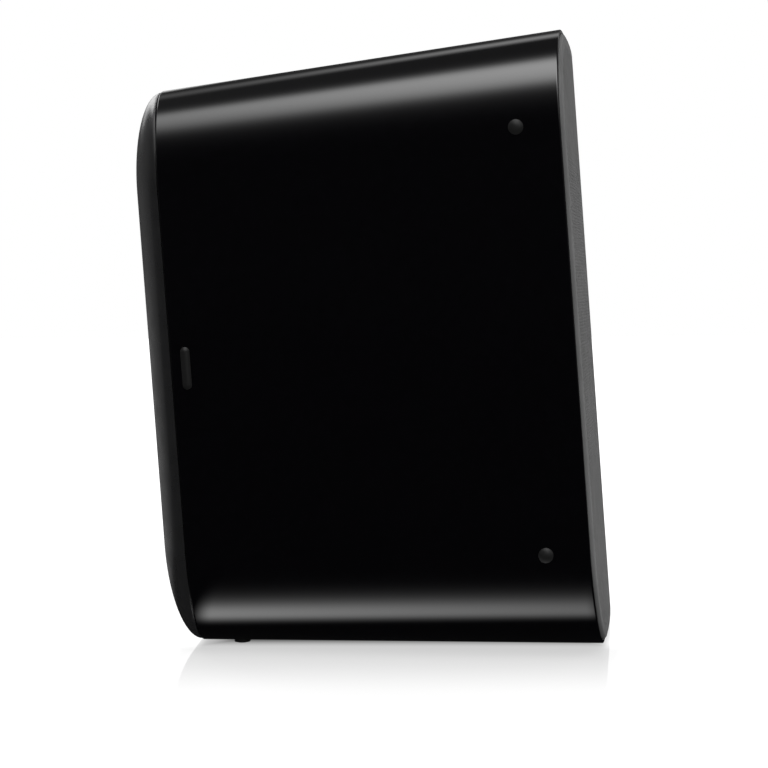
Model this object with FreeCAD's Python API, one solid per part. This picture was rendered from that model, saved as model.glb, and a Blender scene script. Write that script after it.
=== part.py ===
import FreeCAD, Part
import math
import os

from FreeCAD import Placement, Rotation, Vector

# A wireless speaker that lies on its long side: a glossy tapered shell, a bulged
# perforated grille in front, a domed cover behind, and inside it one woofer, two
# tweeters, the boards and a sprung join button in the connector bay.
#
# Everything is drawn in the cabinet's own frame first. X runs across the front, Y is
# the depth behind the ends of the shell's bowed front edge, Z is the height above the
# cabinet's middle.
# The cabinet tapers to the rear and rests on its lower side, so the finished pieces
# are leant back by that side's taper and set down on the pads.
# Lengths are in millimetres and angles in degrees.

# Flats that round pieces have, and those of each inner corner of the casing
SIDES = 20
SMALL_SIDES = 10
CORNER_FLATS = 3

# Cabinet outline
FRONT_WIDTH = 364.0
FRONT_HEIGHT = 202.0
SHELL_DEPTH = 128.5
END_TAPER = 3.0
SIDE_TAPER = 4.0
CORNER_RADIUS = 34.0

# Shell
SHELL_WALL = 3.0
LIP_WALL = 1.2
REBATE_DEPTH = 3.0
LEDGE_WIDTH = 10.0
LEDGE_THICKNESS = 3.0
SHELL_RIB_HEIGHT = 6.0
SHELL_RIB_THICKNESS = 2.0
SHELL_RIB_SPACING = 66.0
BOSS_WIDTH = 9.0
BOSS_DEPTH = 13.0

# Grille
GRILLE_LIP = 1.0
GRILLE_BULGE = 14.0
GRILLE_GAP = 0.4
GRILLE_WALL = 1.6
GRILLE_SHEET = 1.2
GRILLE_BORDER = 13.0
GRILLE_PITCH = 32.0
GRILLE_HOLE = 19.0
PEG_WIDTH = 4.0
PEG_CLEARANCE = 0.2
PEG_SPACING_ACROSS = 60.0
PEG_SPACING_UP = 38.0

# Baffle and seals
BAFFLE_THICKNESS = 4.0
BAFFLE_CLEARANCE = 0.3
BAFFLE_RIB_HEIGHT = 8.0
BAFFLE_RIB_THICKNESS = 2.5
BAFFLE_RIB_PLACE = 80.0
SEAL_THICKNESS = 1.0
SEAL_WIDTH = 2.6

# Rear cover
COVER_REACH = 10.5
COVER_ROUND = 33.0
COVER_GAP = 0.4
COVER_FIT = 0.3
COVER_SKIRT_WALL = 3.5
COVER_WALL = 2.6
COVER_POCKET_SLOPE = 24.0

# Connector bay
BAY_WIDTH = 124.0
BAY_HEIGHT = 36.0
BAY_DROP = 40.0
BAY_DEPTH = 9.6
BAY_WALL = 2.0
PANEL_THICKNESS = 2.0
PANEL_OVERLAP = 3.0
PANEL_FIT = 0.2

# Sockets and button
SOCKET_DEPTH = 16.0
SOCKET_WALL = 2.2
INLET_LOBE = 4.5
INLET_WAIST = 6.6
INLET_CAVITY = 12.5
INLET_PLACE = 42.0
PIN_RADIUS = 1.2
PIN_SPACING = 8.6
PIN_LENGTH = 9.5
NETWORK_WIDTH = 12.2
NETWORK_HEIGHT = 8.2
NETWORK_CAVITY = 12.5
LATCH_SLOT_WIDTH = 6.0
LATCH_SLOT_HEIGHT = 1.4
NETWORK_PLACE = 10.0
JACK_BORE = 1.8
JACK_COLLAR = 4.0
JACK_BODY = 11.0
JACK_BORE_DEPTH = 14.5
JACK_PLACE = -18.0
COLLAR_PROUD = 0.8
BUTTON_WIDTH = 8.0
BUTTON_FLANGE = 1.2
BUTTON_PROUD = 1.4
BUTTON_GAP = 0.3
BUTTON_STEM = 3.0
BUTTON_PLACE = -42.0
SWITCH_BODY = 6.4
SWITCH_HEIGHT = 4.2
SWITCH_WELL_DEPTH = 2.4
PLUNGER_WIDTH = 3.4
PLUNGER_HEIGHT = 2.2
PLUNGER_PROUD = 1.0

# Boards
BOARD_THICKNESS = 1.6
MAIN_BOARD_WIDTH = 134.0
MAIN_BOARD_HEIGHT = 72.0
POWER_BOARD_WIDTH = 92.0
POWER_BOARD_HEIGHT = 60.0
POWER_BOARD_PLACE = 42.0
POST_WIDTH = 7.0
POST_INSET = 5.0
HEAT_SINK_WIDTH = 60.0
HEAT_SINK_HEIGHT = 24.0
HEAT_SINK_DEPTH = 16.0
HEAT_SINK_BASE = 3.0
FIN_COUNT = 8
FIN_THICKNESS = 1.6
RADIO_WIDTH = 26.0
RADIO_HEIGHT = 18.0
RADIO_THICKNESS = 2.8
TRANSFORMER_WIDTH = 28.0
TRANSFORMER_HEIGHT = 24.0
TRANSFORMER_DEPTH = 20.0
CAPACITOR_RADIUS = 8.0
CAPACITOR_LENGTH = 22.0
CAPACITOR_SPACING = 20.0
TOUCH_BOARD_WIDTH = 58.0
TOUCH_BOARD_DEPTH = 24.0
TOUCH_BOARD_PLACE = 60.0
ANTENNA_LENGTH = 44.0
ANTENNA_WIDTH = 12.0
ANTENNA_THICKNESS = 0.8
ANTENNA_PLACE = 95.0
GLUE_GAP = 0.1

# Woofer
WOOFER_FLANGE = 66.0
WOOFER_FLANGE_CUT = 14.0
FLANGE_THICKNESS = 2.5
WOOFER_OPENING = 54.0
LEG_WIDTH = 9.0
LEG_REACH = 60.0
LEG_FOOT = 46.0
BASKET_FLOOR = 32.5
FLOOR_THICKNESS = 3.0
FLOOR_HALF_WIDTH = 44.0
CONE_RADIUS = 44.5
CONE_DEPTH = 16.0
CONE_THICKNESS = 1.2
SURROUND_FIT = 0.2
ROLL_WIDTH = 9.5
ROLL_HEIGHT = 4.0
SURROUND_LAND = 3.0
CAP_RADIUS = 16.0
CAP_TOP_RADIUS = 9.0
CAP_HEIGHT = 4.0
CAP_FIT = 0.1
COIL_RADIUS = 13.6
COIL_WALL = 0.8
COIL_LENGTH = 20.0
COIL_CLEARANCE = 0.7
SPIDER_RADIUS = 36.0
SPIDER_RISE = 6.0
SPIDER_THICKNESS = 0.6
SPIDER_FIT = 0.2
MAGNET_RADIUS = 40.0
MAGNET_BORE = 22.0
MAGNET_THICKNESS = 14.0
YOKE_RADIUS = 38.0
YOKE_THICKNESS = 4.0
WOOFER_SCREW_PLACE = 55.0

# Tweeters
TWEETER_PLACE = 122.0
TWEETER_FLANGE = 30.0
TWEETER_FLANGE_CUT = 12.0
TWEETER_HORN = 20.0
TWEETER_MOUTH = 14.2
DOME_RADIUS = 13.0
DOME_SHOULDER = 9.5
DOME_CROWN = 4.0
DOME_HEIGHT = 4.4
DOME_SHOULDER_HEIGHT = 2.6
DOME_GAP = 0.6
TWEETER_MOTOR_RADIUS = 18.0
TWEETER_MOTOR_DEPTH = 14.0
TWEETER_SCREW_PLACE = 25.0

# Screws: six-sided heads and shanks, in six-sided holes
HEX_SIDES = 6
SCREW_HEAD = 3.2
SCREW_HEAD_HEIGHT = 2.0
SCREW_SHANK = 1.5
SCREW_CLEARANCE = 0.25
SCREW_INSET = 8.5
SCREW_SPACING = 115.0
BAFFLE_SCREW_LENGTH = 18.0
COVER_SCREW_LENGTH = 9.0
WOOFER_SCREW_LENGTH = 6.0
BOARD_SCREW_LENGTH = 7.0

# Pads
PAD_PROUD = 1.0
PAD_RADIUS = 2.4
PAD_FRONT_DEPTH = 14.0
PAD_REAR_SETBACK = 4.6
PAD_END_SPACING = 67.6
PAD_END_RISE = 0.5
END_PAD_LENGTH = 13.6
END_PAD_WIDTH = 3.0
FOOT_SPACING = 132.0
FOOT_REAR_SETBACK = 12.5
FOOT_LENGTH = 30.0
FOOT_WIDTH = 5.2

# Depths, insets and radii that follow from the sizes above
GRILLE_REACH = GRILLE_LIP + GRILLE_BULGE
BULGE_RADIUS = (FRONT_WIDTH ** 2 / 4 + GRILLE_BULGE ** 2) / (2 * GRILLE_BULGE)
GRILLE_INSET = LIP_WALL + GRILLE_GAP
BAFFLE_FRONT = REBATE_DEPTH
BAFFLE_BACK = BAFFLE_FRONT + BAFFLE_THICKNESS
FRONT_LEDGE = BAFFLE_BACK + SEAL_THICKNESS
LEDGE_BACK = FRONT_LEDGE + LEDGE_THICKNESS
REAR_MOUTH = SHELL_DEPTH - REBATE_DEPTH
REAR_LEDGE = REAR_MOUTH - LEDGE_THICKNESS
LEDGE_INSET = SHELL_WALL + LEDGE_WIDTH
COVER_SEAT = REAR_MOUTH + SEAL_THICKNESS
COVER_RIM = SHELL_DEPTH + COVER_GAP
COVER_BACK = SHELL_DEPTH + COVER_REACH
COVER_INNER = COVER_BACK - COVER_WALL
SKIRT_INSET = LIP_WALL + COVER_FIT
POCKET_INSET = SKIRT_INSET + COVER_SKIRT_WALL
PANEL_BACK = COVER_BACK - BAY_DEPTH
PANEL_FRONT = PANEL_BACK - PANEL_THICKNESS
BOARD_BACK = PANEL_FRONT - SOCKET_DEPTH
BOARD_FRONT = BOARD_BACK - BOARD_THICKNESS
PAD_REAR_DEPTH = SHELL_DEPTH - PAD_REAR_SETBACK
FOOT_REAR_DEPTH = SHELL_DEPTH - FOOT_REAR_SETBACK
FLANGE_FRONT = BAFFLE_FRONT - FLANGE_THICKNESS
FLOOR_BACK = BASKET_FLOOR + FLOOR_THICKNESS
MAGNET_BACK = FLOOR_BACK + MAGNET_THICKNESS
CONE_FLOOR = FLANGE_FRONT + CONE_DEPTH
COIL_FRONT = CONE_FLOOR + CONE_THICKNESS
COIL_BORE = COIL_RADIUS - COIL_WALL
PAST = 1.0
FAR = 400.0
TINY = 0.001


# Helpers


def half_width(depth, inset=0.0):
    return FRONT_WIDTH / 2 - depth * math.tan(math.radians(END_TAPER)) - inset


def half_height(depth, inset=0.0):
    return FRONT_HEIGHT / 2 - depth * math.tan(math.radians(SIDE_TAPER)) - inset


def cabinet_block(front, back, inset, back_inset=None):
    """A slice of the tapered cabinet, drawn in by inset, its four long edges rounded."""
    back_inset = inset if back_inset is None else back_inset
    w0, h0 = half_width(front, inset), half_height(front, inset)
    w1, h1 = half_width(back, back_inset), half_height(back, back_inset)
    block = Part.makeWedge(-w0, front, -h0, -h1, -w1, w0, back, h0, h1, w1)
    long_edges = [edge for edge in block.Edges if edge.BoundBox.YLength > 0.5 * (back - front)]
    return block.makeFillet(CORNER_RADIUS - inset, long_edges)


def cabinet_ring(front, back, outer_inset, inner_inset):
    inner = cabinet_block(front - PAST, back + PAST, inner_inset)
    return cabinet_block(front, back, outer_inset).cut(inner)


def flat_solid(outlines):
    """A closed solid of the flat faces whose corners are given, without corners that meet."""
    faces = []
    for corners in outlines:
        apart = [corners[k] for k in range(len(corners)) if corners[k].distanceToPoint(corners[k - 1]) > TINY]
        if len(apart) > 2:
            faces.append(Part.Face(Part.makePolygon(apart + apart[:1])))
    solid = Part.Solid(Part.Shell(faces)).removeSplitter()
    return solid if solid.Volume > 0 else solid.reversed()


def faceted_outline(depth, inset):
    """The cabinet's outline, drawn in by inset, with flats in place of round corners."""
    radius = CORNER_RADIUS - inset
    corner_x = half_width(depth, inset) - radius
    corner_z = half_height(depth, inset) - radius
    points = []
    for quarter, (side_x, side_z) in enumerate(((1, 1), (-1, 1), (-1, -1), (1, -1))):
        for step in range(CORNER_FLATS + 1):
            turn = math.pi / 2 * (quarter + step / CORNER_FLATS)
            points.append(Vector(side_x * corner_x + radius * math.cos(turn), depth,
                                 side_z * corner_z + radius * math.sin(turn)))
    return points


def faceted_block(front, back, inset, back_inset=None):
    """A slice of the tapered cabinet, drawn in by inset, with flats in place of round corners."""
    near = faceted_outline(front, inset)
    far = faceted_outline(back, inset if back_inset is None else back_inset)
    sides = [[near[k - 1], near[k], far[k], far[k - 1]] for k in range(len(near))]
    return flat_solid(sides + [near, far])


def box(x0, x1, y0, y1, z0, z1):
    low = Vector(min(x0, x1), min(y0, y1), min(z0, z1))
    return Part.makeBox(abs(x1 - x0), abs(y1 - y0), abs(z1 - z0), low)


def block_at(x, z, width, height, front, back):
    """A box centred on x and z, between two depths."""
    return box(x - width / 2, x + width / 2, front, back, z - height / 2, z + height / 2)


def extruded(points, front, back):
    """A closed outline of (x, z) points, extruded between two depths."""
    wire = Part.makePolygon([Vector(x, front, z) for x, z in points + points[:1]])
    return Part.Face(wire).extrude(Vector(0, back - front, 0))


def prism(sides, radius, x, z, front, back, turn=0.5):
    angles = [2 * math.pi * (step + turn) / sides for step in range(sides)]
    points = [(x + radius * math.cos(angle), z + radius * math.sin(angle)) for angle in angles]
    return extruded(points, front, back)


def rod(radius, x, z, front, back):
    return Part.makeCylinder(radius, back - front, Vector(x, front, z), Vector(0, 1, 0))


def clear_of(radius, gap):
    """The radius of a hole with SIDES flats whose flats stay gap away from a round piece."""
    return radius / math.cos(math.pi / SIDES) + gap


def turned(profile, x=0.0, z=0.0):
    """A closed outline of (radius, depth) points, turned about a driver's axis in SIDES flats."""
    angles = [2 * math.pi * (step + 0.5) / SIDES for step in range(SIDES)]
    rings = [[Vector(x + radius * math.cos(angle), depth, z + radius * math.sin(angle)) for angle in angles]
             for radius, depth in profile]
    return flat_solid([[near[step - 1], near[step], far[step], far[step - 1]]
                       for near, far in zip(rings, rings[1:] + rings[:1]) for step in range(SIDES)])


def cut_square(half, corner_cut, x, z, front, back):
    """A square plate with its four corners cut off."""
    near = half - corner_cut
    points = [(half, -near), (half, near), (near, half), (-near, half),
              (-half, near), (-half, -near), (-near, -half), (near, -half)]
    return extruded([(x + px, z + pz) for px, pz in points], front, back)


def edge_place(side, along, depth, inset):
    """The x and z of a point beside one side of the cabinet, drawn in by inset."""
    if side in ("top", "bottom"):
        z = half_height(depth, inset)
        return along, z if side == "top" else -z
    x = half_width(depth, inset)
    return x if side == "right" else -x, along


def edge_spots(across, up):
    """Spots beside the top, the bottom and the two ends, as (side, along) pairs."""
    ups = (-up, up) if up else (0.0,)
    spots = [(side, along) for side in ("top", "bottom") for along in (-across, across)]
    return spots + [(side, along) for side in ("left", "right") for along in ups]


def edge_places(spots, depth, inset):
    return [edge_place(side, along, depth, inset) for side, along in spots]


def edge_boss(side, along, front, back, outer_inset):
    """A square boss on the line of a screw, reaching out to outer_inset."""
    half = BOSS_WIDTH / 2
    inner_x, inner_z = edge_place(side, along, front, SCREW_INSET + half)
    outer_x, outer_z = edge_place(side, along, back, outer_inset)
    if side in ("top", "bottom"):
        return box(along - half, along + half, front, back, outer_z, inner_z)
    return box(outer_x, inner_x, front, back, along - half, along + half)


def screw(x, z, seat, length, way=1):
    """A screw whose head stands on seat; way is 1 where it points to the rear."""
    spans = sorted((seat - way * SCREW_HEAD_HEIGHT, seat)), sorted((seat, seat + way * length))
    head = prism(HEX_SIDES, SCREW_HEAD, x, z, *spans[0])
    return head.fuse(prism(HEX_SIDES, SCREW_SHANK, x, z, *spans[1]))


def screw_hole(x, z, front, back):
    return prism(HEX_SIDES, SCREW_SHANK + SCREW_CLEARANCE, x, z, front, back)


def behind_bulge(sink):
    """Everything behind the bulged front surface, with that surface sunk back."""
    axis = Vector(0, BULGE_RADIUS - GRILLE_REACH, -FAR)
    return Part.makeCylinder(BULGE_RADIUS - sink, 2 * FAR, axis)


def group(solids):
    return Part.makeCompound(solids)


# Places that several pieces share

EDGE_SCREWS = edge_spots(SCREW_SPACING, 0.0)
BAFFLE_SCREWS = edge_places(EDGE_SCREWS, FRONT_LEDGE, SCREW_INSET)
COVER_SCREWS = edge_places(EDGE_SCREWS, REAR_LEDGE, SCREW_INSET)
PEGS = edge_places(edge_spots(PEG_SPACING_ACROSS, PEG_SPACING_UP), BAFFLE_FRONT, SCREW_INSET)
WOOFER_SCREWS = [(x, z) for x in (-WOOFER_SCREW_PLACE, WOOFER_SCREW_PLACE)
                 for z in (-WOOFER_SCREW_PLACE, WOOFER_SCREW_PLACE)]
TWEETERS = (-TWEETER_PLACE, TWEETER_PLACE)
TWEETER_SCREWS = [(x, z) for x in TWEETERS for z in (-TWEETER_SCREW_PLACE, TWEETER_SCREW_PLACE)]
BAY_PLACE = -BAY_DROP


def board_corners(width, height, place):
    x = width / 2 - POST_INSET
    z = height / 2 - POST_INSET
    return [(sx * x, place + sz * z) for sx in (-1, 1) for sz in (-1, 1)]


BOARD_SCREWS = (board_corners(MAIN_BOARD_WIDTH, MAIN_BOARD_HEIGHT, BAY_PLACE)
                + board_corners(POWER_BOARD_WIDTH, POWER_BOARD_HEIGHT, POWER_BOARD_PLACE))


# Casing


def shell():
    body = cabinet_block(-GRILLE_REACH, SHELL_DEPTH, 0).common(behind_bulge(GRILLE_LIP))
    body = body.cut([cabinet_block(-GRILLE_REACH - PAST, FRONT_LEDGE, LIP_WALL),
                     cabinet_block(REAR_MOUTH, SHELL_DEPTH + PAST, LIP_WALL),
                     faceted_block(LEDGE_BACK, REAR_LEDGE, SHELL_WALL)])
    body = body.cut(faceted_block(0, SHELL_DEPTH, LEDGE_INSET))
    bosses = [edge_boss(side, along, LEDGE_BACK, LEDGE_BACK + BOSS_DEPTH, SHELL_WALL / 2)
              for side, along in EDGE_SCREWS]
    body = body.fuse(bosses + shell_ribs())
    holes = [screw_hole(x, z, FRONT_LEDGE - PAST, BAFFLE_FRONT + BAFFLE_SCREW_LENGTH + PAST)
             for x, z in BAFFLE_SCREWS]
    holes += [screw_hole(x, z, REAR_LEDGE - PAST, REAR_MOUTH + PAST) for x, z in COVER_SCREWS]
    return body.cut(holes)


def shell_ribs():
    """Stiffening ribs from ledge to ledge, under the top and over the bottom."""
    band = cabinet_ring(LEDGE_BACK - PAST, REAR_LEDGE + PAST, SHELL_WALL / 2, SHELL_WALL + SHELL_RIB_HEIGHT)
    slabs = [block_at(step * SHELL_RIB_SPACING / 2, 0, SHELL_RIB_THICKNESS, FRONT_HEIGHT, 0, SHELL_DEPTH)
             for step in (-3, -1, 1, 3)]
    return band.common(group(slabs)).Solids


def grille():
    outer = cabinet_block(-GRILLE_REACH - PAST, REBATE_DEPTH, GRILLE_INSET).common(behind_bulge(0))
    inner = faceted_block(-GRILLE_REACH - PAST, REBATE_DEPTH + PAST, GRILLE_INSET + GRILLE_WALL)
    body = outer.cut(inner.common(behind_bulge(GRILLE_SHEET)))
    pegs = group([block_at(x, z, PEG_WIDTH, PEG_WIDTH, -GRILLE_REACH, BAFFLE_BACK) for x, z in PEGS])
    pegs = pegs.common(behind_bulge(GRILLE_SHEET / 2)).Solids
    return body.cut(grille_holes()).fuse(pegs)


def grille_holes():
    """Staggered square perforations, as many as fit inside the plain border."""
    row_step = GRILLE_PITCH * math.sqrt(3) / 2
    reach_x = half_width(0, GRILLE_BORDER + GRILLE_HOLE / 2)
    reach_z = half_height(0, GRILLE_BORDER + GRILLE_HOLE / 2)
    corner = CORNER_RADIUS - GRILLE_BORDER
    rows = int(reach_z / row_step)
    columns = int(reach_x / GRILLE_PITCH) + 1
    holes = []
    for row in range(-rows, rows + 1):
        for column in range(-columns, columns + 1):
            x = (column + 0.5 * (row % 2)) * GRILLE_PITCH
            z = row * row_step
            over_x = max(0.0, abs(x) - reach_x + corner)
            over_z = max(0.0, abs(z) - reach_z + corner)
            if math.hypot(over_x, over_z) <= corner:
                holes.append(block_at(x, z, GRILLE_HOLE, GRILLE_HOLE, -GRILLE_REACH - PAST, REBATE_DEPTH))
    return holes


def front_baffle():
    plate = faceted_block(BAFFLE_FRONT, BAFFLE_BACK, LIP_WALL + BAFFLE_CLEARANCE)
    rib_height = 2 * half_height(LEDGE_BACK, LEDGE_INSET + BAFFLE_CLEARANCE)
    rib_back = BAFFLE_BACK + BAFFLE_RIB_HEIGHT
    ribs = [block_at(x, 0, BAFFLE_RIB_THICKNESS, rib_height, BAFFLE_FRONT + PAST, rib_back)
            for x in (-BAFFLE_RIB_PLACE, BAFFLE_RIB_PLACE)]
    front, back = BAFFLE_FRONT - PAST, BAFFLE_BACK + PAST
    basket_reach = math.hypot(LEG_REACH, LEG_WIDTH / 2)
    cuts = [prism(SIDES, clear_of(basket_reach, BAFFLE_CLEARANCE), 0, 0, front, back)]
    cuts += [prism(SIDES, TWEETER_MOTOR_RADIUS + BAFFLE_CLEARANCE, x, 0, front, back) for x in TWEETERS]
    socket = PEG_WIDTH + 2 * PEG_CLEARANCE
    cuts += [block_at(x, z, socket, socket, front, back) for x, z in PEGS]
    cuts += [screw_hole(x, z, front, back) for x, z in BAFFLE_SCREWS + WOOFER_SCREWS + TWEETER_SCREWS]
    return plate.fuse(ribs).cut(cuts)


def tape_ring(front, back, inset):
    """A seal of tape, laid in straight runs and bent round each corner."""
    outer = faceted_block(front, back, inset)
    return outer.cut(faceted_block(front - PAST, back + PAST, inset + SEAL_WIDTH))


def front_seal():
    return tape_ring(BAFFLE_BACK, FRONT_LEDGE, SHELL_WALL)


def rear_seal():
    return tape_ring(REAR_MOUTH, COVER_SEAT, SKIRT_INSET)


def dome_profile(radius):
    """Half of the domed section, from its axis out to its upright rim."""
    flat = radius - COVER_ROUND
    rim = Vector(radius, COVER_RIM, 0)
    crown = Vector(flat, COVER_BACK, 0)
    round_over = Part.Arc(Part.Ellipse(rim, crown, Vector(flat, COVER_RIM, 0)), 0, math.pi / 2).toShape()
    top = Vector(0, COVER_BACK, 0)
    foot = Vector(0, COVER_RIM, 0)
    sides = [Part.makeLine(crown, top), Part.makeLine(top, foot), Part.makeLine(foot, rim)]
    return Part.Face(Part.Wire([round_over] + sides))


def rear_dome():
    """The domed back, with an elliptical round-over all along the shell's outline."""
    radius = CORNER_RADIUS - COVER_GAP
    corner_x = half_width(SHELL_DEPTH, CORNER_RADIUS)
    corner_z = half_height(SHELL_DEPTH, CORNER_RADIUS)
    profile = dome_profile(radius)
    upright = Vector(0, 1, 0)
    solids = [box(-corner_x, corner_x, COVER_RIM, COVER_BACK, -corner_z, corner_z)]
    for turn, across, along in ((0, corner_x, corner_z), (90, corner_z, corner_x),
                                (180, corner_x, corner_z), (270, corner_z, corner_x)):
        side = profile.copy()
        side.translate(Vector(across, 0, -along))
        side = side.extrude(Vector(0, 0, 2 * along))
        corner = profile.revolve(Vector(0, 0, 0), upright, 90)
        corner.translate(Vector(across, 0, -along))
        for solid in (side, corner):
            solid.rotate(Vector(0, 0, 0), upright, turn)
            solids.append(solid)
    return solids[0].fuse(solids[1:]).removeSplitter()


def rear_cover():
    body = rear_dome().fuse(cabinet_block(COVER_SEAT, COVER_RIM + PAST, SKIRT_INSET))
    body = body.cut([faceted_block(COVER_SEAT - PAST, COVER_RIM, POCKET_INSET),
                     faceted_block(COVER_RIM, COVER_INNER, POCKET_INSET, POCKET_INSET + COVER_POCKET_SLOPE)])
    outer_inset = SKIRT_INSET + SEAL_WIDTH + COVER_FIT
    additions = [edge_boss(side, along, REAR_MOUTH, COVER_RIM + COVER_WALL, outer_inset)
                 for side, along in EDGE_SCREWS]
    additions += [block_at(x, z, POST_WIDTH, POST_WIDTH, BOARD_BACK, COVER_INNER + PAST)
                  for x, z in BOARD_SCREWS]
    additions.append(block_at(0, BAY_PLACE, BAY_WIDTH + 2 * BAY_WALL, BAY_HEIGHT + 2 * BAY_WALL,
                              PANEL_BACK, COVER_INNER + PAST))
    cuts = [block_at(0, BAY_PLACE, BAY_WIDTH, BAY_HEIGHT, PANEL_BACK - PAST, COVER_BACK + PAST)]
    cuts += [screw_hole(x, z, REAR_MOUTH - PAST, REAR_LEDGE + COVER_SCREW_LENGTH + PAST)
             for x, z in COVER_SCREWS]
    cuts += [screw_hole(x, z, BOARD_BACK - PAST, BOARD_FRONT + BOARD_SCREW_LENGTH + PAST)
             for x, z in BOARD_SCREWS]
    return body.fuse(additions).cut(cuts)


# Connector bay


def figure_eight(grow, front, back):
    """The two-lobed outline of the power inlet."""
    lobe = INLET_LOBE + grow
    half = PIN_SPACING / 2
    waist = block_at(INLET_PLACE, BAY_PLACE, PIN_SPACING, INLET_WAIST + 2 * grow, front, back)
    lobes = [prism(SMALL_SIDES, lobe, INLET_PLACE + side * half, BAY_PLACE, front, back) for side in (-1, 1)]
    return waist.fuse(lobes)


def network_opening(grow, front, back):
    width, height = NETWORK_WIDTH + 2 * grow, NETWORK_HEIGHT + 2 * grow
    main = block_at(NETWORK_PLACE, BAY_PLACE, width, height, front, back)
    slot_top = BAY_PLACE - NETWORK_HEIGHT / 2
    slot_half = LATCH_SLOT_WIDTH / 2 + grow
    slot = box(NETWORK_PLACE - slot_half, NETWORK_PLACE + slot_half, front, back,
               slot_top - LATCH_SLOT_HEIGHT - grow, slot_top + grow)
    return main.fuse(slot)


def connector_panel():
    plate = block_at(0, BAY_PLACE, BAY_WIDTH + 2 * PANEL_OVERLAP, BAY_HEIGHT + 2 * PANEL_OVERLAP,
                     PANEL_FRONT, PANEL_BACK)
    front, back = PANEL_FRONT - PAST, PANEL_BACK + PAST
    button_way = BUTTON_WIDTH + 2 * BUTTON_GAP
    return plate.cut([
        figure_eight(PANEL_FIT, front, back),
        network_opening(PANEL_FIT, front, back),
        prism(SMALL_SIDES, JACK_COLLAR + PANEL_FIT, JACK_PLACE, BAY_PLACE, front, back),
        block_at(BUTTON_PLACE, BAY_PLACE, button_way, button_way, front, back)])


def power_inlet():
    width = PIN_SPACING + 2 * (INLET_LOBE + SOCKET_WALL)
    height = 2 * (INLET_LOBE + SOCKET_WALL)
    body = block_at(INLET_PLACE, BAY_PLACE, width, height, BOARD_BACK, PANEL_FRONT)
    return body.cut(figure_eight(0.0, PANEL_FRONT - INLET_CAVITY, PANEL_FRONT + PAST))


def inlet_pins():
    floor = PANEL_FRONT - INLET_CAVITY
    return group([prism(SMALL_SIDES, PIN_RADIUS, INLET_PLACE + side * PIN_SPACING / 2, BAY_PLACE,
                        floor, floor + PIN_LENGTH) for side in (-1, 1)])


def network_socket():
    width = NETWORK_WIDTH + 2 * SOCKET_WALL
    height = NETWORK_HEIGHT + 2 * (LATCH_SLOT_HEIGHT + SOCKET_WALL)
    body = block_at(NETWORK_PLACE, BAY_PLACE, width, height, BOARD_BACK, PANEL_FRONT)
    return body.cut(network_opening(0.0, PANEL_FRONT - NETWORK_CAVITY, PANEL_FRONT + PAST))


def audio_jack():
    tip = PANEL_BACK + COLLAR_PROUD
    body = block_at(JACK_PLACE, BAY_PLACE, JACK_BODY, JACK_BODY, BOARD_BACK, PANEL_FRONT)
    body = body.fuse(prism(SMALL_SIDES, JACK_COLLAR, JACK_PLACE, BAY_PLACE, PANEL_FRONT - PAST, tip))
    return body.cut(rod(JACK_BORE, JACK_PLACE, BAY_PLACE, tip - JACK_BORE_DEPTH, tip + PAST))


def join_button():
    flange_back = PANEL_FRONT - BUTTON_GAP
    flange = BUTTON_WIDTH + 2 * BUTTON_FLANGE
    stem_front = BOARD_BACK + SWITCH_HEIGHT + PLUNGER_PROUD
    face = PANEL_BACK + BUTTON_PROUD
    stages = [block_at(BUTTON_PLACE, BAY_PLACE, width, width, front, back) for width, front, back in (
        (BUTTON_WIDTH, flange_back, face),
        (flange, flange_back - BUTTON_FLANGE, flange_back),
        (BUTTON_STEM, stem_front, flange_back))]
    return stages[0].fuse(stages[1:])


def button_switch():
    top = BOARD_BACK + SWITCH_HEIGHT
    well = PLUNGER_WIDTH + 2 * BUTTON_GAP
    body = block_at(BUTTON_PLACE, BAY_PLACE, SWITCH_BODY, SWITCH_BODY, BOARD_BACK, top)
    return body.cut(block_at(BUTTON_PLACE, BAY_PLACE, well, well, top - SWITCH_WELL_DEPTH, top + PAST))


def switch_plunger():
    tip = BOARD_BACK + SWITCH_HEIGHT + PLUNGER_PROUD
    return block_at(BUTTON_PLACE, BAY_PLACE, PLUNGER_WIDTH, PLUNGER_WIDTH, tip - PLUNGER_HEIGHT, tip)


# Boards


def board(width, height, place):
    plate = block_at(0, place, width, height, BOARD_FRONT, BOARD_BACK)
    return plate.cut([screw_hole(x, z, BOARD_FRONT - PAST, BOARD_BACK + PAST)
                      for x, z in board_corners(width, height, place)])


def main_board():
    return board(MAIN_BOARD_WIDTH, MAIN_BOARD_HEIGHT, BAY_PLACE)


def power_board():
    return board(POWER_BOARD_WIDTH, POWER_BOARD_HEIGHT, POWER_BOARD_PLACE)


def heat_sink():
    """A base with fins along it, standing on the amplifier chip."""
    base = BOARD_FRONT - HEAT_SINK_BASE
    tip = BOARD_FRONT - HEAT_SINK_DEPTH
    body = block_at(0, BAY_PLACE, HEAT_SINK_WIDTH, HEAT_SINK_HEIGHT, base, BOARD_FRONT)
    first = (FIN_THICKNESS - HEAT_SINK_WIDTH) / 2
    step = -2 * first / (FIN_COUNT - 1)
    fins = [block_at(first + count * step, BAY_PLACE, FIN_THICKNESS, HEAT_SINK_HEIGHT, tip, base)
            for count in range(FIN_COUNT)]
    return body.fuse(fins)


def radio_module():
    x = HEAT_SINK_WIDTH / 2 + RADIO_WIDTH / 2 + SOCKET_WALL
    return block_at(x, BAY_PLACE, RADIO_WIDTH, RADIO_HEIGHT, BOARD_FRONT - RADIO_THICKNESS, BOARD_FRONT)


def power_transformer():
    x = -POWER_BOARD_WIDTH / 4
    return block_at(x, POWER_BOARD_PLACE, TRANSFORMER_WIDTH, TRANSFORMER_HEIGHT,
                    BOARD_FRONT - TRANSFORMER_DEPTH, BOARD_FRONT)


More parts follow.
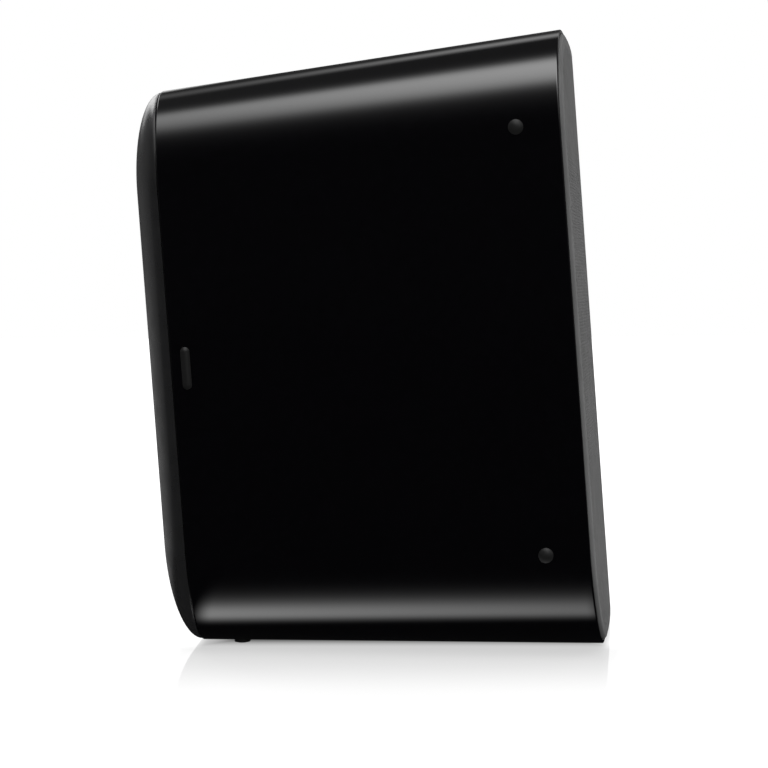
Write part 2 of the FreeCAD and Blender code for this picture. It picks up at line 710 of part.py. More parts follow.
def smoothing_capacitors():
    x = POWER_BOARD_WIDTH / 4
    return group([prism(SMALL_SIDES, CAPACITOR_RADIUS, x, POWER_BOARD_PLACE + side * CAPACITOR_SPACING / 2,
                        BOARD_FRONT - CAPACITOR_LENGTH, BOARD_FRONT) for side in (-1, 1)])


def wall_strip(thickness, cutter):
    """A flat strip glued inside the shell's wall, as cut out of the wall's inner skin."""
    inset = SHELL_WALL + GLUE_GAP
    skin = cabinet_ring(LEDGE_BACK, REAR_LEDGE, inset, inset + thickness)
    return skin.common(cutter)


def touch_board():
    half, front = TOUCH_BOARD_WIDTH / 2, TOUCH_BOARD_PLACE - TOUCH_BOARD_DEPTH / 2
    cutter = box(-half, half, front, front + TOUCH_BOARD_DEPTH, 0, FRONT_HEIGHT)
    return wall_strip(BOARD_THICKNESS, cutter)


def antennas():
    cutter = block_at(0, 0, FRONT_WIDTH, ANTENNA_LENGTH, ANTENNA_PLACE - ANTENNA_WIDTH / 2,
                      ANTENNA_PLACE + ANTENNA_WIDTH / 2)
    return group(wall_strip(ANTENNA_THICKNESS, cutter).Solids)


# Woofer


def woofer_basket():
    flange = cut_square(WOOFER_FLANGE, WOOFER_FLANGE_CUT, 0, 0, FLANGE_FRONT, BAFFLE_FRONT)
    floor = cut_square(FLOOR_HALF_WIDTH, WOOFER_FLANGE_CUT, 0, 0, BASKET_FLOOR, FLOOR_BACK)
    half = LEG_WIDTH / 2
    root = FLANGE_FRONT + PAST
    inner_foot = LEG_FOOT + WOOFER_OPENING - LEG_REACH - PAST
    leg_points = [(WOOFER_OPENING, root), (LEG_REACH, root), (LEG_REACH, BAFFLE_FRONT),
                  (LEG_FOOT, FLOOR_BACK), (inner_foot, FLOOR_BACK)]
    wire = Part.makePolygon([Vector(r, y, -half) for r, y in leg_points + leg_points[:1]])
    leg = Part.Face(wire).extrude(Vector(0, 0, LEG_WIDTH))
    legs = []
    for turn in (45, 135, 225, 315):
        copy = leg.copy()
        copy.rotate(Vector(0, 0, 0), Vector(0, 1, 0), turn)
        legs.append(copy)
    body = flange.fuse(legs + [floor])
    cuts = [prism(SIDES, WOOFER_OPENING, 0, 0, FLANGE_FRONT - PAST, BAFFLE_FRONT + PAST),
            prism(SIDES, COIL_RADIUS + COIL_CLEARANCE, 0, 0, BASKET_FLOOR - PAST, FLOOR_BACK + PAST)]
    cuts += [screw_hole(x, z, FLANGE_FRONT - PAST, BAFFLE_FRONT + PAST) for x, z in WOOFER_SCREWS]
    return body.cut(cuts)


def woofer_surround():
    inner = CONE_RADIUS + SURROUND_FIT
    crest = FLANGE_FRONT - ROLL_HEIGHT
    return turned([(inner, FLANGE_FRONT),
                   (inner + ROLL_WIDTH / 3, crest),
                   (inner + ROLL_WIDTH * 2 / 3, crest),
                   (inner + ROLL_WIDTH + SURROUND_LAND, FLANGE_FRONT)])


def woofer_cone():
    apex = COIL_BORE - SURROUND_FIT
    return turned([(CONE_RADIUS, FLANGE_FRONT), (apex, CONE_FLOOR), (apex, COIL_FRONT),
                   (COIL_RADIUS, COIL_FRONT), (CONE_RADIUS, FLANGE_FRONT + CONE_THICKNESS)])


def dust_cap():
    slope = CONE_DEPTH / (CONE_RADIUS - COIL_BORE + SURROUND_FIT)
    base = FLANGE_FRONT + (CONE_RADIUS - CAP_RADIUS) * slope - CAP_FIT
    top = base - CAP_HEIGHT
    return turned([(0, base), (CAP_RADIUS, base), (CAP_TOP_RADIUS, top), (0, top)])


def voice_coil():
    front, back = COIL_FRONT, COIL_FRONT + COIL_LENGTH
    return turned([(COIL_BORE, front), (COIL_RADIUS, front), (COIL_RADIUS, back), (COIL_BORE, back)])


def woofer_spider():
    inner = COIL_RADIUS + SPIDER_FIT
    raised = BASKET_FLOOR - SPIDER_RISE
    return turned([(SPIDER_RADIUS, BASKET_FLOOR), (inner, raised), (inner, raised - SPIDER_THICKNESS),
                   (SPIDER_RADIUS, BASKET_FLOOR - SPIDER_THICKNESS)])


def woofer_magnet():
    return turned([(MAGNET_BORE, FLOOR_BACK), (MAGNET_RADIUS, FLOOR_BACK), (MAGNET_RADIUS, MAGNET_BACK),
                   (MAGNET_BORE, MAGNET_BACK)])


def woofer_yoke():
    pole = COIL_BORE - COIL_CLEARANCE
    plate_back = MAGNET_BACK + YOKE_THICKNESS
    return turned([(0, BASKET_FLOOR), (pole, BASKET_FLOOR), (pole, MAGNET_BACK), (YOKE_RADIUS, MAGNET_BACK),
                   (YOKE_RADIUS, plate_back), (0, plate_back)])


# Tweeters


def tweeter_plates():
    plates = []
    for x in TWEETERS:
        plate = cut_square(TWEETER_FLANGE, TWEETER_FLANGE_CUT, x, 0, FLANGE_FRONT, BAFFLE_FRONT)
        horn = turned([(0, FLANGE_FRONT), (TWEETER_HORN, FLANGE_FRONT), (TWEETER_MOUTH, BAFFLE_FRONT),
                       (0, BAFFLE_FRONT)], x)
        holes = [screw_hole(x, z, FLANGE_FRONT - PAST, BAFFLE_FRONT + PAST)
                 for z in (-TWEETER_SCREW_PLACE, TWEETER_SCREW_PLACE)]
        plates.append(plate.cut([horn] + holes))
    return group(plates)


def tweeter_motors():
    return group([prism(SIDES, TWEETER_MOTOR_RADIUS, x, 0, BAFFLE_FRONT, BAFFLE_FRONT + TWEETER_MOTOR_DEPTH)
                  for x in TWEETERS])


def tweeter_dome(x):
    base = BAFFLE_FRONT - DOME_GAP
    shoulder = base - DOME_SHOULDER_HEIGHT
    crown = base - DOME_HEIGHT
    return turned([(0, base), (DOME_RADIUS, base), (DOME_SHOULDER, shoulder),
                   (DOME_CROWN, crown), (0, crown)], x)


# Screws and pads


def baffle_screws():
    return group([screw(x, z, BAFFLE_FRONT, BAFFLE_SCREW_LENGTH) for x, z in BAFFLE_SCREWS])


def cover_screws():
    return group([screw(x, z, REAR_LEDGE, COVER_SCREW_LENGTH) for x, z in COVER_SCREWS])


def driver_screws():
    return group([screw(x, z, FLANGE_FRONT, WOOFER_SCREW_LENGTH) for x, z in WOOFER_SCREWS + TWEETER_SCREWS])


def board_screws():
    return group([screw(x, z, BOARD_FRONT, BOARD_SCREW_LENGTH) for x, z in BOARD_SCREWS])


def seated_pad(spot, outward, long_way, length, width):
    """A pad that starts inside the wall and is cut off by the cabinet's surface."""
    across = outward.cross(long_way)
    reach = max(0.0, length - width) / 2
    corners = []
    for step in range(SMALL_SIDES):
        angle = 2 * math.pi * (step + 0.5) / SMALL_SIDES
        along = width / 2 * math.cos(angle) + math.copysign(reach, math.cos(angle))
        corners.append(spot - outward * PAD_PROUD + long_way * along + across * (width / 2 * math.sin(angle)))
    pad = Part.Face(Part.makePolygon(corners + corners[:1])).extrude(outward * 2 * PAD_PROUD)
    return pad.cut(cabinet_block(0, SHELL_DEPTH, 0))


def end_pads(side):
    """Two round pads near the front and a long one near the rear, on one end."""
    slope = math.radians(END_TAPER)
    outward = Vector(side * math.cos(slope), math.sin(slope), 0)
    front_x = side * half_width(PAD_FRONT_DEPTH)
    rear_x = side * half_width(PAD_REAR_DEPTH)
    upright = Vector(0, 0, 1)
    pads = [seated_pad(Vector(front_x, PAD_FRONT_DEPTH, z), outward, upright, 0.0, 2 * PAD_RADIUS)
            for z in (PAD_END_RISE - PAD_END_SPACING, PAD_END_RISE + PAD_END_SPACING)]
    rear_spot = Vector(rear_x, PAD_REAR_DEPTH, 0)
    pads.append(seated_pad(rear_spot, outward, upright, END_PAD_LENGTH, END_PAD_WIDTH))
    return group(pads)


def bottom_pads():
    """Two round feet near the front and two long ones near the rear."""
    slope = math.radians(SIDE_TAPER)
    outward = Vector(0, math.sin(slope), -math.cos(slope))
    across = Vector(1, 0, 0)
    feet = []
    for side in (-1, 1):
        front = Vector(side * FOOT_SPACING, PAD_FRONT_DEPTH, -half_height(PAD_FRONT_DEPTH))
        rear = Vector(side * FOOT_SPACING, FOOT_REAR_DEPTH, -half_height(FOOT_REAR_DEPTH))
        feet.append(seated_pad(front, outward, across, 0.0, 2 * PAD_RADIUS))
        feet.append(seated_pad(rear, outward, across, FOOT_LENGTH, FOOT_WIDTH))
    return group(feet)


def cabinet_pieces():
    pieces = {
        "shell": shell(),
        "grille": grille(),
        "front_baffle": front_baffle(),
        "front_seal": front_seal(),
        "rear_seal": rear_seal(),
        "rear_cover": rear_cover(),
        "connector_panel": connector_panel(),
        "power_inlet": power_inlet(),
        "inlet_pins": inlet_pins(),
        "network_socket": network_socket(),
        "audio_jack": audio_jack(),
        "join_button": join_button(),
        "button_switch": button_switch(),
        "switch_plunger": switch_plunger(),
        "main_board": main_board(),
        "power_board": power_board(),
        "heat_sink": heat_sink(),
        "radio_module": radio_module(),
        "power_transformer": power_transformer(),
        "smoothing_capacitors": smoothing_capacitors(),
        "touch_board": touch_board(),
        "antennas": antennas(),
        "woofer_basket": woofer_basket(),
        "woofer_surround": woofer_surround(),
        "woofer_cone": woofer_cone(),
        "dust_cap": dust_cap(),
        "voice_coil": voice_coil(),
        "woofer_spider": woofer_spider(),
        "woofer_magnet": woofer_magnet(),
        "woofer_yoke": woofer_yoke(),
        "tweeter_plates": tweeter_plates(),
        "tweeter_motors": tweeter_motors(),
        "left_tweeter_dome": tweeter_dome(TWEETERS[0]),
        "right_tweeter_dome": tweeter_dome(TWEETERS[1]),
        "baffle_screws": baffle_screws(),
        "cover_screws": cover_screws(),
        "driver_screws": driver_screws(),
        "board_screws": board_screws(),
        "left_end_pads": end_pads(-1),
        "right_end_pads": end_pads(1),
        "bottom_pads": bottom_pads(),
    }
    return pieces


def set_down(pieces):
    """Leans every piece back onto the lower side and centres the whole above the origin."""
    slope = math.radians(SIDE_TAPER)
    lean = Placement(Vector(0, 0, FRONT_HEIGHT / 2 * math.cos(slope) + PAD_PROUD),
                     Rotation(Vector(1, 0, 0), -SIDE_TAPER))
    for shape in pieces.values():
        shape.transformShape(lean.toMatrix())
    front = pieces["grille"].optimalBoundingBox().YMin
    back = pieces["rear_cover"].optimalBoundingBox().YMax
    centre = (front + back) / 2
    for shape in pieces.values():
        shape.translate(Vector(0, -centre, 0))
    return centre


def main():
    os.makedirs("parts", exist_ok=True)
    pieces = cabinet_pieces()
    centre = set_down(pieces)
    for name, shape in pieces.items():
        assert shape.isValid(), name
        shape.exportStep("parts/%s.step" % name)
    print("pieces", len(pieces), "depth of the middle", round(centre, 4))


main()
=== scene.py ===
import math

import bpy
import numpy as np
from mathutils import Matrix, Vector
from mathutils.geometry import delaunay_2d_cdt

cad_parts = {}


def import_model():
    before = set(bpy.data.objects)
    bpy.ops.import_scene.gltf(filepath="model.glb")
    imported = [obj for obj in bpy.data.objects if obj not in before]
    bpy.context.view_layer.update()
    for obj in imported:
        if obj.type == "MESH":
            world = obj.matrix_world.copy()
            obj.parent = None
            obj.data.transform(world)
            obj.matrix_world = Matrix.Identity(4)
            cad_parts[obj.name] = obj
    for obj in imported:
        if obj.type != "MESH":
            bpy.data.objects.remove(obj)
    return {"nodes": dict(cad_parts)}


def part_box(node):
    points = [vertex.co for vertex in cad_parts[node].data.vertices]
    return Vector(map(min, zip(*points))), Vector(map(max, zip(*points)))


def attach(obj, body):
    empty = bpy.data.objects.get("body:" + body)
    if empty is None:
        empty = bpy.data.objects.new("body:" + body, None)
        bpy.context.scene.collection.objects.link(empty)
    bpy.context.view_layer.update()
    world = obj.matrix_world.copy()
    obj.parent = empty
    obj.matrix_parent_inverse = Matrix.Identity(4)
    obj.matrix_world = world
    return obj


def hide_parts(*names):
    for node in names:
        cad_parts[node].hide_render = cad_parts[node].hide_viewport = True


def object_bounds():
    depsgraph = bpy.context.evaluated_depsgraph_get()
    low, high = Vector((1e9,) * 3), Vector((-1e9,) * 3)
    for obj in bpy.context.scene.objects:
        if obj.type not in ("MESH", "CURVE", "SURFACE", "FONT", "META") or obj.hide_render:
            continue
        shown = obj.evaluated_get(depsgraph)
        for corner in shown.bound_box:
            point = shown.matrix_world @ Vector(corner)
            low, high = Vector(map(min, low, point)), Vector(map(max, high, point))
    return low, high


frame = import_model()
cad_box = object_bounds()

# A wireless speaker that lies on its long side: glossy shell, bulged perforated grille,
# domed rear cover and rubber pads. Lengths are in metres.
# Shapes are drawn in the cabinet's own frame: X across the front, Y the depth behind the
# ends of the shell's bowed front edge, Z the height above the cabinet's middle. Then they
# are leant back.

MM = 0.001

# Cabinet outline
FRONT_WIDTH = 364 * MM
FRONT_HEIGHT = 202 * MM
SHELL_DEPTH = 128.5 * MM
END_TAPER = math.radians(3)
SIDE_TAPER = math.radians(4)
CORNER_RADIUS = 34 * MM

# Shell
SHELL_WALL = 3 * MM
LIP_WALL = 1.2 * MM
LIP_ROUND = 0.45 * MM
REAR_LIP_ROUND = 0.15 * MM
REBATE_DEPTH = 3 * MM
FRONT_LEDGE = 8 * MM
LEDGE_THICKNESS = 3 * MM
LEDGE_WIDTH = 10 * MM

# Grille
GRILLE_LIP = 1 * MM
GRILLE_BULGE = 14 * MM
GRILLE_INSET = 1.6 * MM
GRILLE_WALL = 1.6 * MM
GRILLE_SHEET = 1.2 * MM
GRILLE_FOLD = 0.9 * MM
FOLD_HOLD = GRILLE_FOLD * 1.6
INNER_FOLD = 0.2 * MM
GRILLE_BORDER = 3.4 * MM
HOLE_PITCH = 2.1 * MM
HOLE_MARGIN = HOLE_PITCH * 0.62
HOLE_RADIUS = 0.68 * MM
HOLE_SIDES = 6
GRILLE_PARTS = 4

# Rear cover
COVER_REACH = 10.5 * MM
COVER_ROUND = 33 * MM
INNER_ROUND = COVER_ROUND - 4 * MM
COVER_GAP = 0.4 * MM
COVER_WALL = 2.6 * MM
COVER_EDGE = 0.1 * MM
LEAST_CORNER = 0.3 * MM
SKIRT_INSET = 1.5 * MM
SKIRT_WALL = 3.5 * MM
COVER_SEAT = 126.5 * MM
BAY_WIDTH = 124 * MM
BAY_HEIGHT = 36 * MM
BAY_DROP = 40 * MM
BAY_DEPTH = 9.6 * MM
BAY_WALL = 2 * MM
BAY_CORNER = 1.6 * MM
BAY_MOUTH_ROUND = 0.7 * MM

# Pads
PAD_PROUD = 1 * MM
PAD_SINK = 0.3 * MM
PAD_RADIUS = 2.4 * MM
PAD_FRONT_DEPTH = 14 * MM
PAD_REAR_DEPTH = SHELL_DEPTH - 4.6 * MM
PAD_END_SPACING = 67.6 * MM
PAD_END_RISE = 0.5 * MM
END_PAD_LENGTH = 13.6 * MM
END_PAD_WIDTH = 3 * MM
FOOT_SPACING = 132 * MM
FOOT_REAR_DEPTH = SHELL_DEPTH - 12.5 * MM
FOOT_LENGTH = 30 * MM
FOOT_WIDTH = 5.2 * MM
END_PAD_DOME = 0.8 * MM
FOOT_DOME = 0.4 * MM
DOME_SHARE = 0.97

# Mesh fineness
CORNER_STEPS = 24
FLAT_STEPS = 20
ROUND_STEPS = 4
COVER_STEPS = 20
PAD_STEPS = 8
HOLD = 0.5 * MM
BOW_ROUNDS = 3
KEYS_PER_PITCH = 12
CLOSE_POINTS = 1e-9
SHARP_ANGLE = math.radians(40)

# Camera, as fitted to the outline of the photo
CAMERA_PLACE = Vector((-0.82377, -0.019255, 0.113422))
CAMERA_YAW = math.radians(-1.6924)
CAMERA_PITCH = math.radians(-2.248)
CAMERA_ROLL = math.radians(0.2038)
CAMERA_LENS = 95.57
CAMERA_SENSOR = 36
CAMERA_NEAR = 0.01

# Values that follow
GRILLE_REACH = GRILLE_LIP + GRILLE_BULGE
BULGE_RADIUS = (FRONT_WIDTH ** 2 / 4 + GRILLE_BULGE ** 2) / (2 * GRILLE_BULGE)
COLUMN_STEP = HOLE_PITCH * math.sqrt(3) / 2
REAR_MOUTH = SHELL_DEPTH - REBATE_DEPTH
COVER_RIM = SHELL_DEPTH + COVER_GAP
COVER_BACK = SHELL_DEPTH + COVER_REACH
PANEL_BACK = COVER_BACK - BAY_DEPTH

# The shell is lowest along its lower side and reaches furthest back along its upper rear edge
shell_low, shell_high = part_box("shell")
REAR_RISE = FRONT_HEIGHT / 2 - SHELL_DEPTH * math.tan(SIDE_TAPER)
LEAN_Y = shell_high.y - SHELL_DEPTH * math.cos(SIDE_TAPER) - REAR_RISE * math.sin(SIDE_TAPER)
LEAN_Z = shell_low.z + FRONT_HEIGHT / 2 * math.cos(SIDE_TAPER)
LEAN = Matrix.Rotation(-SIDE_TAPER, 4, "X")
LEAN.translation = (0, LEAN_Y, LEAN_Z)


# Outlines

def outline_table():
    """One closed outline: for each point the share of the corner centres, the way out, and the hold."""
    rows = []
    corners = ((1, 1), (-1, 1), (-1, -1), (1, -1))
    for quarter, (side_x, side_z) in enumerate(corners):
        turns = [math.pi / 2 * (quarter + step / CORNER_STEPS) for step in range(CORNER_STEPS + 1)]
        arc = [(side_x, side_z, math.cos(turn), math.sin(turn), 0, 0) for turn in turns]
        first, last = arc[0], arc[-1]
        before = (side_x, side_z, first[2], first[3], first[3] * HOLD, -first[2] * HOLD)
        after = (side_x, side_z, last[2], last[3], -last[3] * HOLD, last[2] * HOLD)
        rows += [before] + arc + [after]
        next_x, next_z = corners[(quarter + 1) % len(corners)]
        for step in range(1, FLAT_STEPS):
            share = step / FLAT_STEPS
            rows.append((side_x + (next_x - side_x) * share, side_z + (next_z - side_z) * share,
                         last[2], last[3], 0, 0))
    return np.array(rows).T


OUTLINE = outline_table()


def outline(half_w, half_h, radius, middle_z=0.0):
    """The x and z of a rounded rectangle, always with the same number of points."""
    share_x, share_z, out_x, out_z, hold_x, hold_z = OUTLINE
    x = share_x * (half_w - radius) + out_x * radius + hold_x
    z = share_z * (half_h - radius) + out_z * radius + hold_z + middle_z
    return x, z


def half_width(depth):
    return FRONT_WIDTH / 2 - depth * math.tan(END_TAPER)


def half_height(depth):
    return FRONT_HEIGHT / 2 - depth * math.tan(SIDE_TAPER)


def ring(x, depth, z):
    return np.column_stack([x, np.broadcast_to(depth, x.shape), z])


def cabinet_ring(depth, inset):
    """The cabinet's tapered outline at a depth, drawn in by inset."""
    x, z = outline(half_width(depth) - inset, half_height(depth) - inset, CORNER_RADIUS - inset)
    return ring(x, depth, z)


def bulge_depth(x):
    """The depth of the grille's bulged face."""
    return BULGE_RADIUS - GRILLE_REACH - np.sqrt(BULGE_RADIUS ** 2 - x ** 2)


def bowed_ring(behind, inset):
    """The cabinet's outline, drawn in by inset, that follows the bulge a little behind it."""
    depth = behind
    for _ in range(BOW_ROUNDS):
        x, z = outline(half_width(depth) - inset, half_height(depth) - inset, CORNER_RADIUS - inset)
        depth = bulge_depth(x) + behind
    return ring(x, depth, z)


def rounded_path(corners):
    """A closed line through (a, b, radius) corners, each turned into an arc with a hold beside it."""
    path = []
    for number, (a, b, radius) in enumerate(corners):
        here = Vector((a, b))
        if radius == 0:
            path.append(here)
            continue
        back = (Vector(corners[number - 1][:2]) - here).normalized()
        onward = (Vector(corners[(number + 1) % len(corners)][:2]) - here).normalized()
        half = back.angle(onward) / 2
        reach = radius / math.tan(half)
        centre = here + (back + onward).normalized() * radius / math.sin(half)
        start = here + back * reach - centre
        sweep = start.angle_signed(here + onward * reach - centre)
        path.append(here + back * (reach + radius / 2))
        for step in range(ROUND_STEPS + 1):
            turned_by = Matrix.Rotation(-sweep * step / ROUND_STEPS, 2)
            path.append(centre + turned_by @ start)
        path.append(here + onward * (reach + radius / 2))
    return [(point.x, point.y) for point in path]


def quarter_turns(steps):
    """The angles from 0 to a quarter turn, both included."""
    return [math.pi / 2 * step / steps for step in range(steps + 1)]


# Meshes

def new_piece(name, points, faces):
    """A smooth mesh object from points in the cabinet's frame."""
    mesh = bpy.data.meshes.new(name)
    mesh.from_pydata([tuple(point) for point in points], [], faces)
    mesh.transform(LEAN)
    mesh.validate()
    piece = bpy.data.objects.new(name, mesh)
    bpy.context.scene.collection.objects.link(piece)
    for polygon in mesh.polygons:
        polygon.use_smooth = True
    mesh.set_sharp_from_angle(angle=SHARP_ANGLE)
    return piece


def stacked(name, rings, closed=True):
    """A piece made of rings in a row: a closed tube, or a stack whose two ends are capped."""
    size, count = len(rings[0]), len(rings)
    faces = []
    for number in range(count if closed else count - 1):
        low = number * size
        high = (number + 1) % count * size
        for step in range(size):
            onward = (step + 1) % size
            faces.append((low + step, low + onward, high + onward, high + step))
    if not closed:
        faces.append(tuple(range(size - 1, -1, -1)))
        faces.append(tuple(range((count - 1) * size, count * size)))
    return new_piece(name, np.concatenate(rings), faces)


def shell_piece():
    """The tapered shell, with a ledge near each mouth; its front lip follows the bulge."""
    inner = SHELL_WALL + LEDGE_WIDTH
    rear_ledge = REAR_MOUTH - LEDGE_THICKNESS
    path = rounded_path([
        (0, 0, LIP_ROUND), (0, LIP_WALL, LIP_ROUND), (FRONT_LEDGE, LIP_WALL, 0), (FRONT_LEDGE, inner, 0),
        (FRONT_LEDGE + LEDGE_THICKNESS, inner, 0), (FRONT_LEDGE + LEDGE_THICKNESS, SHELL_WALL, 0),
        (rear_ledge, SHELL_WALL, 0), (rear_ledge, inner, 0), (REAR_MOUTH, inner, 0),
        (REAR_MOUTH, LIP_WALL, 0), (SHELL_DEPTH, LIP_WALL, REAR_LIP_ROUND), (SHELL_DEPTH, 0, REAR_LIP_ROUND)])
    return stacked("cabinet_shell", [bowed_ring(GRILLE_LIP + depth, inset) if depth < FRONT_LEDGE / 2
                                     else cabinet_ring(depth, inset) for depth, inset in path])


# Grille

def grille_rim():
    """The folded edge of the pan, with the plain border of its face."""
    face = [(FOLD_HOLD, 0), (GRILLE_FOLD, 0)]
    for turn in quarter_turns(ROUND_STEPS):
        face.append((GRILLE_FOLD * (1 - math.sin(turn)), GRILLE_FOLD * (1 - math.cos(turn))))
    face += [(0, FOLD_HOLD), (0, GRILLE_BORDER), (GRILLE_SHEET, GRILLE_BORDER),
             (GRILLE_SHEET, GRILLE_WALL + INNER_FOLD), (GRILLE_SHEET + INNER_FOLD, GRILLE_WALL)]
    rings = [cabinet_ring(REBATE_DEPTH, GRILLE_INSET)]
    rings += [bowed_ring(behind, GRILLE_INSET + inset) for behind, inset in face]
    rings.append(cabinet_ring(REBATE_DEPTH, GRILLE_INSET + GRILLE_WALL))
    return stacked("grille_rim", rings)


def hole_place(column, row):
    """The x and z of a hole: each second column is staggered by half a pitch."""
    return column * COLUMN_STEP, (row + 0.5 * (column % 2)) * HOLE_PITCH


def nearest_hole(x, z):
    """The column and row of the place in the endless pattern that is nearest to a point."""
    column = round(x / COLUMN_STEP)
    found = []
    for near in (column - 1, column, column + 1):
        row = round(z / HOLE_PITCH - 0.5 * (near % 2))
        hole_x, hole_z = hole_place(near, row)
        found.append((math.hypot(x - hole_x, z - hole_z), near, row))
    return min(found)[1:]


def hole_places(edge):
    """The x and z of each hole well inside the edge, by its column and row."""
    reach_x, reach_z = edge.max(axis=0)
    corner = CORNER_RADIUS - GRILLE_INSET - GRILLE_BORDER
    columns, rows = int(reach_x / COLUMN_STEP) + 1, int(reach_z / HOLE_PITCH) + 1
    holes = {}
    for column in range(-columns, columns + 1):
        for row in range(-rows, rows + 1):
            x, z = hole_place(column, row)
            over_x = max(0.0, abs(x) - reach_x + corner)
            over_z = max(0.0, abs(z) - reach_z + corner)
            if math.hypot(over_x, over_z) < corner - HOLE_MARGIN:
                holes[(column, row)] = (x, z)
    return holes


def hole_cells(holes):
    """A six-sided cell around each hole: the points, each cell's outer and hole corners, and the sides
    that only one cell has."""
    turns = [2 * math.pi / HOLE_SIDES * step for step in range(HOLE_SIDES)]
    cell_radius = HOLE_PITCH / math.sqrt(3)
    points, lookup, cells, side_use = [], {}, [], {}

    def corner_number(x, z):
        key = (round(x / HOLE_PITCH * KEYS_PER_PITCH), round(z / HOLE_PITCH * KEYS_PER_PITCH))
        if key not in lookup:
            lookup[key] = len(points)
            points.append((x, z))
        return lookup[key]

    for x, z in holes.values():
        outer = [corner_number(x + cell_radius * math.cos(turn), z + cell_radius * math.sin(turn))
                 for turn in turns]
        first = len(points)
        points += [(x + HOLE_RADIUS * math.cos(turn), z + HOLE_RADIUS * math.sin(turn)) for turn in turns]
        cells.append((outer, list(range(first, first + HOLE_SIDES))))
        for step in range(HOLE_SIDES):
            pair = tuple(sorted((outer[step], outer[(step + 1) % HOLE_SIDES])))
            side_use[pair] = side_use.get(pair, 0) + 1
    return points, cells, [pair for pair, uses in side_use.items() if uses == 1]


def border_triangles(points, free_sides, edge, holes):
    """The triangles between the cells' free sides and the edge, whose points are added to points."""
    side_points = sorted({number for pair in free_sides for number in pair})
    local = {number: place for place, number in enumerate(side_points)}
    first, size = len(side_points), len(edge)
    coordinates = [Vector(points[number]) for number in side_points] + [Vector(pair) for pair in edge]
    lines = [(local[a], local[b]) for a, b in free_sides]
    lines += [(first + step, first + (step + 1) % size) for step in range(size)]
    out_points, _, triangles, origins, _, _ = delaunay_2d_cdt(coordinates, lines, [], 0, CLOSE_POINTS)
    number_of = {}
    for place, origin in enumerate(origins):
        known = [number for number in origin if number < first]
        if known:
            number_of[place] = side_points[known[0]]
        else:
            number_of[place] = len(points)
            points.append(tuple(out_points[place]))
    border = []
    for triangle in triangles:
        middle = sum((out_points[place] for place in triangle), Vector((0, 0))) / 3
        if nearest_hole(middle.x, middle.y) not in holes:
            border.append([number_of[place] for place in triangle])
    return border


def grille_skins():
    """The perforated face: a cell around each hole, and triangles from the cells to the edge."""
    edge = bowed_ring(0, GRILLE_INSET + GRILLE_BORDER)[:, [0, 2]]
    holes = hole_places(edge)
    points, cells, free_sides = hole_cells(holes)
    border = border_triangles(points, free_sides, edge, holes)
    return sheets_of(np.array(points), cells, border)


def sheets_of(points, cells, border):
    """The flat pattern bent onto the bulge as sheets side by side, each with front, back and hole walls."""
    reach = points[:, 0].max()
    width = 2 * reach / GRILLE_PARTS
    total = len(points)
    faces = [[] for _ in range(GRILLE_PARTS)]

    def part_of(numbers):
        middle = points[numbers, 0].mean()
        return faces[min(GRILLE_PARTS - 1, max(0, int((middle + reach) / width)))]

    for outer, hole in cells:
        part = part_of(outer)
        for step in range(HOLE_SIDES):
            onward = (step + 1) % HOLE_SIDES
            front = (outer[step], outer[onward], hole[onward], hole[step])
            part.append(front)
            part.append(tuple(number + total for number in reversed(front)))
            part.append((hole[step], hole[onward], hole[onward] + total, hole[step] + total))
    for triangle in border:
        part = part_of(triangle)
        part.append(tuple(triangle))
        part.append(tuple(number + total for number in reversed(triangle)))
    front = bulge_depth(points[:, 0])
    both = np.concatenate([ring(points[:, 0], front, points[:, 1]),
                           ring(points[:, 0], front + GRILLE_SHEET, points[:, 1])])
    pieces = []
    for number, part in enumerate(faces):
        used = np.unique(np.concatenate([np.array(face) for face in part]))
        place = np.zeros(len(both), dtype=int)
        place[used] = np.arange(len(used))
        local = [tuple(int(place[corner]) for corner in face) for face in part]
        pieces.append(new_piece("grille_skin_%d" % (number + 1), both[used], local))
    return pieces


# Rear cover

def cover_ring(depth, inset):
    """The cover's outline, which doesn't taper, drawn in from the cabinet's rear outline."""
    x, z = outline(half_width(SHELL_DEPTH) - inset, half_height(SHELL_DEPTH) - inset,
                   max(CORNER_RADIUS - inset, LEAST_CORNER))
    return ring(x, depth, z)


def bay_ring(depth, grow):
    """The connector bay's outline at a depth, widened by grow."""
    x, z = outline(BAY_WIDTH / 2 + grow, BAY_HEIGHT / 2 + grow, BAY_CORNER + grow, -BAY_DROP)
    return ring(x, depth, z)


def rear_cover_piece():
    """The cover as one closed tube: skirt, rim, domed outside, bay, and the inside back to the skirt."""
    reach = COVER_BACK - COVER_RIM
    inner_reach = COVER_REACH - COVER_GAP - COVER_WALL
    dome_turns = quarter_turns(COVER_STEPS)
    rings = [cabinet_ring(COVER_SEAT, SKIRT_INSET), cabinet_ring(COVER_RIM, SKIRT_INSET)]
    for turn in quarter_turns(ROUND_STEPS):
        rings.append(cover_ring(COVER_RIM + COVER_EDGE * (1 - math.cos(turn)),
                                COVER_GAP + COVER_EDGE * (1 - math.sin(turn))))
    for turn in [math.asin(2 * COVER_EDGE / reach)] + dome_turns[1:]:
        rings.append(cover_ring(COVER_RIM + reach * math.sin(turn),
                                COVER_GAP + COVER_ROUND * (1 - math.cos(turn))))
    for turn in quarter_turns(ROUND_STEPS):
        rings.append(bay_ring(COVER_BACK - BAY_MOUTH_ROUND * (1 - math.cos(turn)),
                              BAY_MOUTH_ROUND * (1 - math.sin(turn))))
    rings += [bay_ring(PANEL_BACK, 0), bay_ring(PANEL_BACK, BAY_WALL),
              bay_ring(COVER_BACK - COVER_WALL, BAY_WALL)]
    for turn in reversed(dome_turns):
        rings.append(cover_ring(COVER_RIM + inner_reach * math.sin(turn),
                                SKIRT_INSET + SKIRT_WALL + INNER_ROUND * (1 - math.cos(turn))))
    rings.append(cabinet_ring(COVER_SEAT, SKIRT_INSET + SKIRT_WALL))
    return stacked("domed_rear_cover", rings)


